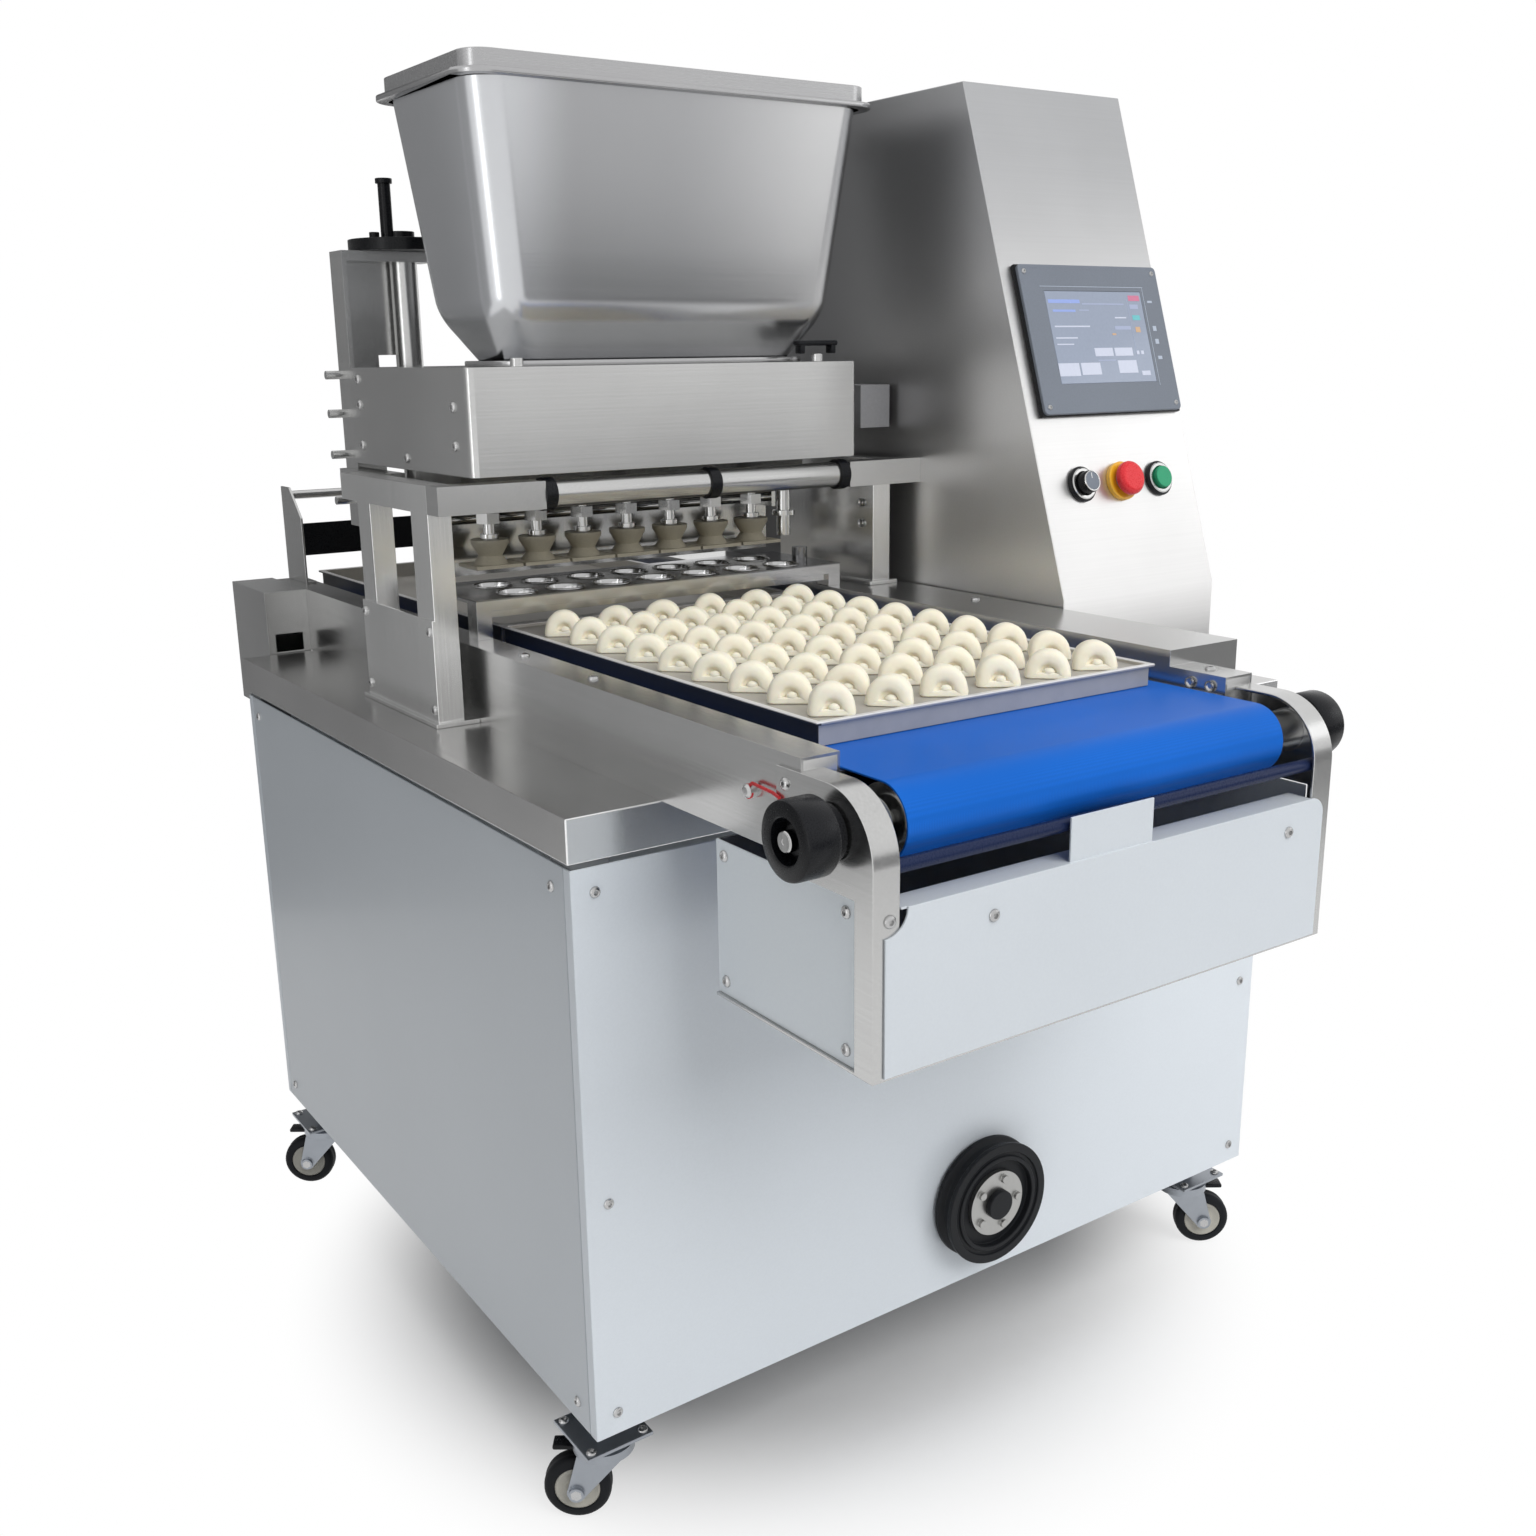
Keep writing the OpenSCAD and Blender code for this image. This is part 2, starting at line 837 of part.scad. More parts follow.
module lever_pin() {
    bar_x([lever_out - clear, lever_y, lever_z], lever_t + 2 * clear, lever_pin_r);
    bar_x([rail_left - cheek_t, lever_y, lever_z], cheek_t, lever_pin_head);
    bar_x([lever_out - clear - head_screw_h, lever_y, lever_z], head_screw_h, lever_pin_head);
}
module case_screws() {
    color("gainsboro") {
        cabinet_screws();
        nose_screws();
        rail_screws();
        portal_screws();
        lever_pin();
    }
}

module caster_plates() {
    color("lightsteelblue") for (at = CASTERS) {
        translate([at[0], at[1], 0]) {
            difference() {
                union() {
                    translate([-caster_plate_w / 2, -caster_plate_w / 2, caster_plate_z])
                        cube([caster_plate_w, caster_plate_w, caster_plate_t]);
                    translate([0, 0, race_z]) cylinder(h = race_h, r = race_r);
                }
                translate([0, 0, race_z - over])
                    cylinder(h = race_h + caster_plate_t + 2 * over, r = kingpin_r + fit);
            }
            translate([(at[0] < 0 ? caster_pad_in : -caster_pad_in) - caster_pad_w / 2,
                (at[1] < 0 ? caster_pad_in : -caster_pad_in) - caster_pad_w / 2, caster_pad_z])
                cube([caster_pad_w, caster_pad_w, floor_gap - caster_pad_z]);
        }
    }
}
// A caster's own place: kingpin on Z, the wheel trailing along +X, its axle along Y
module at_caster(i) {
    translate([CASTERS[i][0], CASTERS[i][1], 0]) rotate([0, 0, caster_heading + i % 2 * 180]) children();
}
module caster_fork(i) {
    leg_in = wheel_w / 2 + leg_gap;
    turn = leg_r * LEG_TURN_SHARES;
    color("lightsteelblue") at_caster(i) {
        translate([0, 0, crown_low]) cylinder(h = crown_t, r = crown_r);
        translate([0, 0, crown_top]) cylinder(h = race_h + caster_plate_t, r = kingpin_r);
        for (y = [leg_in + leg_t, -leg_in]) {
            translate([0, y, 0]) rotate(FRONT) linear_extrude(leg_t) {
                polygon([[-crown_r * crown_front_share, crown_low], [crown_r * crown_back_share, crown_low],
                    [caster_trail + leg_r, wheel_r], [caster_trail - turn[0], wheel_r - turn[1]]]);
                translate([caster_trail, wheel_r]) circle(leg_r);
            }
        }
        bar_y([caster_trail, -leg_in - leg_t - nut_h, wheel_r], 2 * (leg_in + leg_t + nut_h), axle_r);
        for (y = [-leg_in - leg_t - nut_h, leg_in + leg_t]) {
            bar_y([caster_trail, y, wheel_r], nut_h, nut_r);
        }
    }
}
module caster_wheel(i) {
    half = wheel_w / 2;
    rim_r = wheel_r - tyre_t;
    color("dimgray") at_caster(i) translate([caster_trail, 0, wheel_r]) rotate(FRONT) rotate_extrude() {
        polygon([[axle_r + fit, -half], [hub_r, -half], [hub_r, rim_recess - half],
            [rim_r, rim_recess - half], [rim_r, -half], [wheel_r - tyre_round, -half],
            [wheel_r, tyre_round - half], [wheel_r, half - tyre_round], [wheel_r - tyre_round, half],
            [rim_r, half], [rim_r, half - rim_recess], [hub_r, half - rim_recess],
            [hub_r, half], [axle_r + fit, half]]);
    }
}
module caster_fork_fl() {
    caster_fork(0);
}
module caster_fork_fr() {
    caster_fork(1);
}
module caster_fork_rl() {
    caster_fork(2);
}
module caster_fork_rr() {
    caster_fork(3);
}
module caster_wheel_fl() {
    caster_wheel(0);
}
module caster_wheel_fr() {
    caster_wheel(1);
}
module caster_wheel_rl() {
    caster_wheel(2);
}
module caster_wheel_rr() {
    caster_wheel(3);
}

// The pulley's own place: axis along the stub axle, heights counted outward from the cabinet front
module at_pulley() {
    translate([pulley_x, cab_front, pulley_z]) rotate(FRONT) children();
}
module pulley_wheel() {
    back = cab_front - pulley_back;
    face = cab_front - pulley_face;
    web_back = cab_front - web_face - pulley_web_t;
    web_front = cab_front - web_face;
    middle = (back + face) / 2;
    rim_r = pulley_r - pulley_rim_t;
    color("black") at_pulley() {
        rotate_extrude() polygon([[pulley_seat_r + fit, web_back], [rim_r, web_back], [rim_r, back],
            [pulley_r, back], [pulley_r, middle - groove_w], [pulley_r - groove_d, middle - groove_w / 2],
            [pulley_r - groove_d, middle + groove_w / 2], [pulley_r, middle + groove_w], [pulley_r, face],
            [rim_r + pulley_rim_t / 2, face], [rim_r + pulley_rim_t / 2, face - face_groove_d],
            [rim_r + pulley_rim_t / 4, face - face_groove_d], [rim_r + pulley_rim_t / 4, face],
            [rim_r, face], [rim_r, web_front], [pulley_seat_r + fit, web_front]]);
        translate([0, 0, cab_front - hub_face]) cylinder(h = cap_t, r = cap_r);
    }
}
module pulley_hub() {
    web_back = cab_front - web_face - pulley_web_t;
    web_front = cab_front - web_face;
    color("silver") at_pulley() {
        difference() {
            union() {
                translate([0, 0, web_back]) cylinder(h = pulley_web_t, r = pulley_seat_r);
                translate([0, 0, web_front]) cylinder(h = hub_flange_t, r = hub_flange_r);
            }
            translate([0, 0, web_back - over]) cylinder(h = pulley_web_t + over, r = pulley_axle_r + fit);
        }
        for (i = [0 : hub_bolt_count - 1]) {
            rotate([0, 0, i * 360 / hub_bolt_count]) translate([hub_bolt_circle_r, 0, web_front])
                cylinder(h = hub_flange_t + hub_bolt_h, r = hub_bolt_r);
        }
    }
}

// The left rail tube with the bore of the tail shaft
module rail_tube() {
    difference() {
        block([rail_left, rail_front, top_z], [inner_left, rail_rear, rail_top]);
        block([rail_left + rail_t, rail_front - over, top_z + rail_t],
            [inner_left - rail_t, rail_rear + over, rail_top - rail_t]);
        bar_x([rail_left - over, tail_axis_y, axis_z], rail_w + 2 * over, shaft_r + fit);
    }
}
module left_rail() {
    color("silver") rail_tube();
}
module right_rail() {
    color("silver") difference() {
        union() {
            block([inner_right, rail_front, top_z], [rail_right, rail_rear, rail_top]);
            block([inner_right, duct_front, top_z], [duct_right, duct_rear, duct_top]);
        }
        block([inner_right + rail_t, rail_front - over, top_z + rail_t],
            [rail_right - rail_t, rail_rear + over, rail_top - rail_t]);
        block([inner_right + rail_t, duct_front + rail_t, top_z + rail_t],
            [duct_right - rail_t, duct_rear - rail_t, duct_top - rail_t]);
        bar_x([inner_right - over, tail_axis_y, axis_z], rail_w + 2 * over, shaft_r + fit);
    }
}
module slider_bed() {
    bed_top = axis_z + roller_r;
    color("gray") block([inner_left, rail_front + bed_end_gap, bed_top - bed_t],
        [inner_right, tail_axis_y - roller_r - bed_end_gap, bed_top]);
}
// The outline of a belt loop in Y and Z
module belt_loop(r) {
    translate([nose_axis_y, axis_z - r]) square([tail_axis_y - nose_axis_y, 2 * r]);
    translate([nose_axis_y, axis_z]) circle(r);
    translate([tail_axis_y, axis_z]) circle(r);
}
module conveyor_belt() {
    color("royalblue") plate_yz(conveyor_x - belt_w / 2, belt_w) difference() {
        belt_loop(belt_out_r);
        belt_loop(belt_in_r);
    }
}
module drive_roller() {
    reach = conveyor_w / 2 + cheek_t + knob_gap + knob_l;
    color("silver") {
        bar_x([conveyor_x - roller_l / 2, nose_axis_y, axis_z], roller_l, roller_r);
        bar_x([conveyor_x - reach, nose_axis_y, axis_z], 2 * reach, shaft_r);
    }
}
module tail_roller() {
    color("silver") {
        bar_x([conveyor_x - roller_l / 2, tail_axis_y, axis_z], roller_l, roller_r);
        bar_x([rail_left - bed_end_gap, tail_axis_y, axis_z], conveyor_w + 2 * bed_end_gap, shaft_r);
    }
}

// A cheek's outline in Y and Z: the upper plate with its round corner and the strip below it
module cheek_outline() {
    translate([cheek_front + cheek_r, side_top])
        square([cheek_rear - cheek_front - cheek_r, cheek_top - side_top]);
    translate([cheek_front, side_top]) square([cheek_r, cheek_top - cheek_r - side_top]);
    translate([cheek_front, cheek_bottom]) square([cheek_strip, side_top - cheek_bottom]);
    intersection() {
        translate([cheek_front + cheek_r, cheek_top - cheek_r]) circle(cheek_r);
        translate([cheek_front, cheek_top - cheek_r]) square(cheek_r);
    }
}
// The rim strip that follows the cheek's front and top edges
module rim_outline() {
    translate([cheek_front, cheek_bottom]) square([cheek_t, cheek_top - cheek_r - cheek_bottom]);
    translate([cheek_front + cheek_r, cheek_top - cheek_t])
        square([rail_front - cheek_front - cheek_r, cheek_t]);
    intersection() {
        translate([cheek_front + cheek_r, cheek_top - cheek_r]) difference() {
            circle(cheek_r);
            circle(cheek_r - cheek_t);
        }
        translate([cheek_front, cheek_top - cheek_r]) square(cheek_r);
    }
}
module nose_frame() {
    boss_l = rail_w + belt_side_gap + roller_margin - boss_gap;
    color("silver") {
        both_sides() difference() {
            union() {
                plate_yz(rail_left - cheek_t, cheek_t) cheek_outline();
                plate_yz(rail_left - cheek_t, rim_w) rim_outline();
                bar_x([rail_left, nose_axis_y, axis_z], boss_l, boss_r);
            }
            bar_x([rail_left - cheek_t - over, nose_axis_y, axis_z],
                cheek_t + boss_l + 2 * over, shaft_r + fit);
        }
        block([rail_left - cheek_t, cheek_front, cheek_bottom],
            [rail_right + cheek_t, nose_rear, cheek_bottom + cheek_t]);
        block([rail_left + cover_t, nose_rear - cover_t, cheek_bottom + cheek_t],
            [rail_right - cover_t, nose_rear, side_top]);
    }
}
module drive_knobs() {
    knob_r = knob_d / 2;
    collar_share_r = knob_r * knob_collar_share;
    color("black") both_sides() translate([rail_left - cheek_t - knob_gap, nose_axis_y, axis_z]) rotate(LEFT)
        rotate_extrude() polygon([[shaft_r + fit, 0], [collar_share_r, 0], [collar_share_r, knob_collar_l],
            [knob_r - knob_round, knob_collar_l], [knob_r, knob_collar_l + knob_round],
            [knob_r, knob_l - knob_round], [knob_r - knob_round, knob_l], [nut_face_r + nut_face_h, knob_l],
            [nut_face_r, knob_l - nut_face_h], [shaft_r + fit, knob_l - nut_face_h]]);
}
module front_cover() {
    low = cheek_bottom + front_cover_low;
    left = rail_left + front_cover_side;
    right = rail_right - front_cover_side;
    h = front_cover_top - low;
    flange_left = rail_left - cheek_t + rim_w + over;
    flange_right = rail_right + cheek_t - rim_w - over;
    color("ghostwhite") {
        translate([left, front_y + cover_t, low]) rotate(FRONT) linear_extrude(cover_t) difference() {
            union() {
                square([right - left, h - corner_r]);
                square([right - left - corner_r, h]);
                translate([right - left - corner_r, h - corner_r]) circle(corner_r);
            }
            translate([0, h]) circle(notch_r);
        }
        block([flange_left, front_y + cover_t, front_cover_top - cover_t],
            [flange_right, front_y + cover_t + cover_return, front_cover_top]);
        block([conveyor_x + tab_off - tab_w / 2, front_y + cover_t, front_cover_top],
            [conveyor_x + tab_off + tab_w / 2, front_y + 2 * cover_t, front_cover_top + tab_h]);
    }
}
module side_covers() {
    color("ghostwhite") both_sides() block([rail_left, cheek_front + cheek_strip, cheek_bottom + cheek_t],
        [rail_left + cover_t, nose_rear, side_top]);
}
module scraper_bar() {
    color("midnightblue") bar_x([rail_left, scraper_y, scraper_z], conveyor_w, scraper_r);
}
module release_lever() {
    color("red") plate_yz(lever_out, lever_t) difference() {
        union() {
            translate([lever_y, lever_z]) circle(lever_eye_r);
            translate([lever_y - lever_l, lever_z]) square([lever_l, lever_bar_h]);
            translate([lever_y - lever_l, lever_z]) square([lever_tip_l, lever_tip_h]);
        }
        translate([lever_y, lever_z]) circle(lever_pin_r + fit);
    }
}

// A tray with a beaded rim, its front edge at y, hollow from low to high
module tray(y, low, high) {
    half = tray_w / 2;
    difference() {
        union() {
            block([conveyor_x - half, y, tray_z], [conveyor_x + half, y + tray_l, tray_z + tray_h]);
            block([conveyor_x - half - tray_bead_w, y - tray_bead_w, tray_z + tray_h - tray_bead_h],
                [conveyor_x + half + tray_bead_w, y + tray_l + tray_bead_w, tray_z + tray_h]);
        }
        block([conveyor_x - half + tray_t, y + tray_t, low],
            [conveyor_x + half - tray_t, y + tray_l - tray_t, high]);
    }
}
// The filled tray: a deck near the rim on a skirt
module baking_tray() {
    half = tray_w / 2;
    color("gray") difference() {
        tray(tray_front, tray_deck, tray_z + tray_h + over);
        block([conveyor_x - half + tray_t, tray_front + tray_t, tray_z - over],
            [conveyor_x + half - tray_t, tray_front + tray_l - tray_t, tray_deck - tray_t]);
    }
}
module infeed_tray() {
    color("tan") tray(infeed_front, tray_z + tray_t, tray_z + tray_h + over);
}
// A dough roll that lies along Y: a thick middle coil between two thinner ends, flat underneath
module dough_roll() {
    r = dough_w / 2;
    drop = dough_h - r;
    end_l = dough_l * dough_end_l_share;
    intersection() {
        translate([0, 0, drop]) union() {
            bar_y([0, -dough_l / 2, 0], dough_l, r * dough_end_share);
            bar_y([0, end_l - dough_l / 2, 0], dough_l - 2 * end_l, r);
        }
        block([-dough_w, -dough_l, 0], [dough_w, dough_l, dough_w]);
    }
}
module dough_pieces() {
    first_x = conveyor_x - (dough_cols - 1) / 2 * dough_pitch_x;
    first_y = tray_front + dough_lead + dough_l / 2;
    color("cornsilk") for (i = [0 : dough_cols - 1], j = [0 : dough_rows - 1]) {
        translate([first_x + i * dough_pitch_x, first_y + j * dough_pitch_y, tray_deck + dough_float])
            rotate([0, 0, dough_turn]) dough_roll();
    }
}

// The places of the mould's cups
module at_cups() {
    for (i = [0 : nozzle_count - 1], row = [0, 1]) {
        translate([conveyor_x + (i - (nozzle_count - 1) / 2) * nozzle_pitch,
            mould_front + cup_row_inset + row * cup_row_pitch, mould_top]) children();
    }
}
module cup_mould() {
    left = conveyor_x - mould_w / 2;
    right = conveyor_x + mould_w / 2;
    bar_top = mould_top - mould_skirt_h;
    foot_left = max(left, rail_left);
    foot_right = min(right, rail_right);
    rear = mould_front + mould_d;
    under = mould_top - mould_plate_t;
    cup_floor_r = cup_r * cup_floor_share;
    cup_flare = (cup_r - cup_floor_r) / cup_depth;
    shell_h = cup_depth + cup_t - mould_plate_t / 2;
    shell_r = cup_floor_r + cup_t;
    color("dimgray") {
        difference() {
            union() {
                block([left, mould_front, under], [right, rear, mould_top]);
                block([left, mould_front, mould_top - mould_skirt_h],
                    [right, mould_front + mould_skirt_t, mould_top]);
                block([left, rear - mould_skirt_t, mould_top - mould_skirt_h], [right, rear, mould_top]);
                at_cups() translate([0, 0, -cup_depth - cup_t])
                    cylinder(h = shell_h, r1 = shell_r, r2 = shell_r + cup_flare * shell_h);
            }
            at_cups() translate([0, 0, -cup_depth])
                cylinder(h = cup_depth + over, r1 = cup_floor_r, r2 = cup_r + cup_flare * over);
        }
        for (y = [mould_front, rear - mould_foot_d]) {
            block([foot_left, y, rail_top], [foot_left + mould_foot_w, y + mould_foot_d, under]);
            block([foot_right - mould_foot_w, y, duct_top], [foot_right, y + mould_foot_d, under]);
        }
        block([foot_left + mould_foot_w, mould_front + mould_bar_back, bar_top - mould_bar_h],
            [foot_right - mould_foot_w, mould_front + mould_bar_d, bar_top]);
        bar_z([right - mould_foot_w / 2, mould_front + mould_d / 2, mould_top], mould_knob_h, mould_knob_r);
    }
}

module infeed_guard() {
    plate_left = rail_left + (rail_w - guard_t) / 2;
    tip_z = rail_top + guard_h + guard_tip_h;
    color("silver") {
        both_sides() {
            plate_yz(plate_left, guard_t) polygon([[guard_front, rail_top], [rail_rear, rail_top],
                [rail_rear, tip_z], [rail_rear - guard_tip_d, tip_z], [guard_front, rail_top + guard_h]]);
            block([plate_left + guard_t, guard_front, rail_top],
                [plate_left + guard_t + guard_foot_w / 2, rail_rear, rail_top + guard_foot_t]);
        }
        bar_x([plate_left, rail_rear - guard_tip_d / 2, tip_z - guard_rod_drop],
            conveyor_w - rail_w + guard_t, guard_rod_r);
    }
}
module guard_panel() {
    plate_left = rail_left + (rail_w + guard_t) / 2;
    y = rail_rear - guard_tip_d;
    color("black") block([plate_left, y, rail_top + guard_panel_low],
        [2 * conveyor_x - plate_left, y + guard_panel_t, rail_top + guard_panel_low + guard_panel_h]);
}
module rear_box() {
    left = rail_left - rear_box_w;
    low = top_z - rear_box_low;
    color("silver") difference() {
        block([left, rear_box_front, low], [rail_left, rear_y, rail_top]);
        block([left + rear_box_t, rear_box_front + rear_box_t, low + rear_box_t],
            [rail_left - rear_box_t, rear_y - rear_box_t, rail_top - rear_box_t]);
        block([left + slot_inset, rear_box_front - over, top_z + rear_box_t],
            [rail_left - slot_inset, rear_box_front + rear_box_t + over, top_z + rear_box_t + slot_h]);
        bar_x([rail_left - rear_box_t - over, tail_axis_y, axis_z], rear_box_t + 2 * over, shaft_window_r);
    }
}

// The two posts and the side beam of a portal, their outer faces at x and standing on z
module portal_posts(x, z) {
    block([x, post_front, z], [x + post_w, post_front + post_d, beam_z]);
    block([x, post_front + portal_l - rear_post_d, z], [x + post_w, post_front + portal_l, beam_z]);
    block([x, post_front, beam_z], [x + post_w, post_front + beam_l, beam_z + beam_h]);
}
module left_portal() {
    x = post_left - post_w;
    color("silver") {
        block([x - base_out, post_front - base_margin, top_z],
            [rail_left, post_front + portal_l + base_margin, top_z + base_t]);
        portal_posts(x, top_z + base_t);
        block([x - portal_plate_t, post_front, top_z + base_t],
            [x, post_front + portal_l, top_z + base_t + portal_plate_h]);
    }
}
module right_portal() {
    color("silver") {
        block([post_right - base_out, post_front - base_margin, duct_top],
            [min(post_right + post_w + base_out, column_left - clear),
                post_front + portal_l + base_margin, duct_top + base_t]);
        portal_posts(post_right, duct_top + base_t);
        block([post_right, post_front + post_d, duct_top + base_t],
            [post_right + portal_plate_t, post_front + portal_l - rear_post_d, beam_z]);
    }
}
module cross_bar() {
    left = post_left - post_w;
    round_left = conveyor_x + conveyor_w * COLLAR_SHARES[0] - collar_w / 2;
    round_right = conveyor_x + conveyor_w * COLLAR_SHARES[2] + collar_w / 2;
    middle_y = bar_front + beam_h / 2;
    middle_z = beam_z + beam_h / 2;
    color("silver") {
        block([left, bar_front, beam_z], [round_left, post_front, beam_z + beam_h]);
        block([round_right, bar_front, beam_z], [column_left, post_front, beam_z + beam_h]);
        bar_x([round_left, middle_y, middle_z], round_right - round_left, beam_h / 2);
    }
}
module bar_collars() {
    middle_y = bar_front + beam_h / 2;
    middle_z = beam_z + beam_h / 2;
    color("black") for (share = COLLAR_SHARES) {
        translate([conveyor_x + conveyor_w * share - collar_w / 2, middle_y, middle_z]) rotate(RIGHT)
            ring(collar_r, collar_w, beam_h / 2 + fit);
    }
}

// The axes of the feed rollers in Y
function feed_axis(side) = feed_y + side * (feed_r + feed_nip / 2);
module head_shell() {
    slot_half = outlet_w / 2 * feed_slot_share;
    middle_y = (head_front + head_rear) / 2;
    difference() {
        union() {
            translate([head_x, middle_y, head_z]) linear_extrude(head_h)
                rounded(head_w, head_d, head_corner_r);
            for (x = [lift_x, lift_mirror_x]) {
                block([x - carriage_w / 2, head_rear - head_corner_r, head_z + carriage_low],
                    [x + carriage_w / 2, lift_y + carriage_w / 2, head_z + carriage_low + carriage_h]);
            }
            for (side = [-1, 1]) {
                bar_z([conveyor_x + side * clamp_off - clamp_r, head_front + clamp_r + clamp_h, head_top],
                    clamp_h, clamp_r);
            }
        }
        translate([head_x, middle_y, head_z + head_t]) linear_extrude(head_h - 2 * head_t)
            rounded(head_w - 2 * head_t, head_d - 2 * head_t, head_corner_r - head_t);
        translate([conveyor_x, hopper_y, head_top - head_t - over]) linear_extrude(head_t + 2 * over)
            rounded(outlet_w * inlet_share, outlet_d * inlet_share, head_corner_r);
        block([conveyor_x - slot_half, nozzle_y - feed_slot_w / 2, head_z - over],
            [conveyor_x + slot_half, nozzle_y + feed_slot_w / 2, head_z + head_t + over]);
    }
}
module head_casing() {
    color("silver") difference() {
        union() {
            head_shell();
            for (side = [-1, 1], x = [head_left + head_t / 2, head_right - head_t - feed_boss_l]) {
                bar_x([x, feed_axis(side), feed_z], feed_boss_l + head_t / 2, feed_boss_r);
            }
        }
        for (side = [-1, 1]) {
            bar_x([head_left + head_t, feed_axis(side), feed_z], head_w - 2 * head_t, shaft_r + fit);
        }
        for (x = [lift_x, lift_mirror_x]) {
            bar_z([x, lift_y, head_z + carriage_low - over], carriage_h + 2 * over, guide_r + fit);
        }
    }
}
module head_screws() {
    color("gainsboro") {
        for (share = HEAD_REAR_SHARES) {
            screw([head_left, head_rear - 3 * cover_inset, head_z + head_h * share], LEFT);
        }
        for (share = HEAD_FRONT_SHARES) {
            screw([head_left, head_front + 3 * cover_inset, head_z + head_h * share], LEFT);
        }
        screw([head_left, (head_front + head_rear) / 2, head_z + cover_inset], LEFT);
    }
}
// The places of the nozzles on the manifold's underside
module at_nozzles(last) {
    for (i = [0 : last]) {
        translate([conveyor_x + (i - (nozzle_count - 1) / 2) * nozzle_pitch, nozzle_y, 0]) children();
    }
}
module nozzle_manifold() {
    half = (nozzle_count + 1) / 2 * nozzle_pitch;
    back = nozzle_y + back_bar_off + 2 * back_bar_r;
    color("silver") {
        block([conveyor_x - half, nozzle_y - manifold_d / 2, manifold_z],
            [conveyor_x + half, nozzle_y + manifold_d / 2, head_z]);
        at_nozzles(nozzle_count - 1) {
            bar_z([0, 0, tip_top], stem_show, stem_r);
            translate([0, 0, manifold_z - nut_drop]) cylinder(h = nut_t, r = nut_flat_r, $fn = 6);
            bar_z([0, 0, tip_top], stem_collar_t, stem_collar_r);
        }
        translate([conveyor_x + (nozzle_count + 1) / 2 * nozzle_pitch - guide_tube_r, nozzle_y, 0]) {
            bar_z([0, 0, tip_bottom + guide_tube_foot],
                manifold_z - tip_bottom - guide_tube_foot, guide_tube_r);
            bar_z([0, 0, tip_top], stem_collar_t, guide_tube_r + stem_collar_t);
        }
        for (x = [conveyor_x - half, conveyor_x + half - bracket_t]) {
            block([x, nozzle_y + manifold_d / 2, manifold_z - bracket_drop],
                [x + bracket_t, back, head_z]);
        }
        block([conveyor_x - half, back - back_sheet_t, manifold_z - back_sheet_drop],
            [conveyor_x + half, back, head_z]);
        for (share = BACK_BAR_SHARES) {
            bar_x([conveyor_x - half, nozzle_y + back_bar_off, manifold_z - stem_show * share],
                2 * half, back_bar_r);
        }
    }
}
module nozzle_tips() {
    waist = tip_h * tip_waist_share;
    lip = tip_h * tip_lip_share;
    foot_w = nozzle_pitch - tip_foot_gap;
    color("cornsilk") at_nozzles(nozzle_count - 1) translate([0, 0, tip_bottom]) difference() {
        union() {
            rotate_extrude() polygon([[0, 0], [tip_foot_r, 0], [tip_foot_r, lip], [tip_waist_r, waist],
                [tip_r, tip_h - lip], [tip_r, tip_h], [0, tip_h]]);
            translate([-foot_w / 2, -tip_foot_d / 2, 0]) cube([foot_w, tip_foot_d, tip_foot_t]);
        }
        translate([0, 0, -over]) cylinder(h = tip_h + 2 * over, r = tip_bore_r);
    }
}
module feed_roller(side) {
    inside = head_w - 2 * (head_t + feed_boss_l + feed_end_gap);
    color("gainsboro") {
        bar_x([head_x - inside / 2, feed_axis(side), feed_z], inside, feed_r);
        bar_x([head_left + head_t + clear, feed_axis(side), feed_z], head_w - 2 * (head_t + clear), shaft_r);
    }
}
module feed_roller_front() {
    feed_roller(-1);
}
module feed_roller_rear() {
    feed_roller(1);
}
module gear_motor() {
    y = feed_axis(-1);
    box_left = head_right + motor_tube_l;
    color("silver") {
        bar_x([head_right, y, feed_z], motor_tube_l, motor_tube_r);
        block([box_left, y - gearbox_d / 2, feed_z - gearbox_h / 2],
            [box_left + gearbox_l, y + gearbox_d / 2, feed_z + gearbox_h / 2]);
        bar_y([box_left + gearbox_l / 2, y + gearbox_d / 2, feed_z], motor_l, motor_r);
        bar_y([box_left + gearbox_l / 2, y + gearbox_d / 2 + motor_l, feed_z], motor_cap_l, motor_cap_r);
    }
}

// A thin rounded slab of the hopper at a height, grown all round
module hopper_slab(w, d, y, z, grow) {
    translate([conveyor_x, y, z]) linear_extrude(hopper_t)
        rounded(w + 2 * grow, d + 2 * grow, hopper_corner_r + grow, $fn = 32);
}
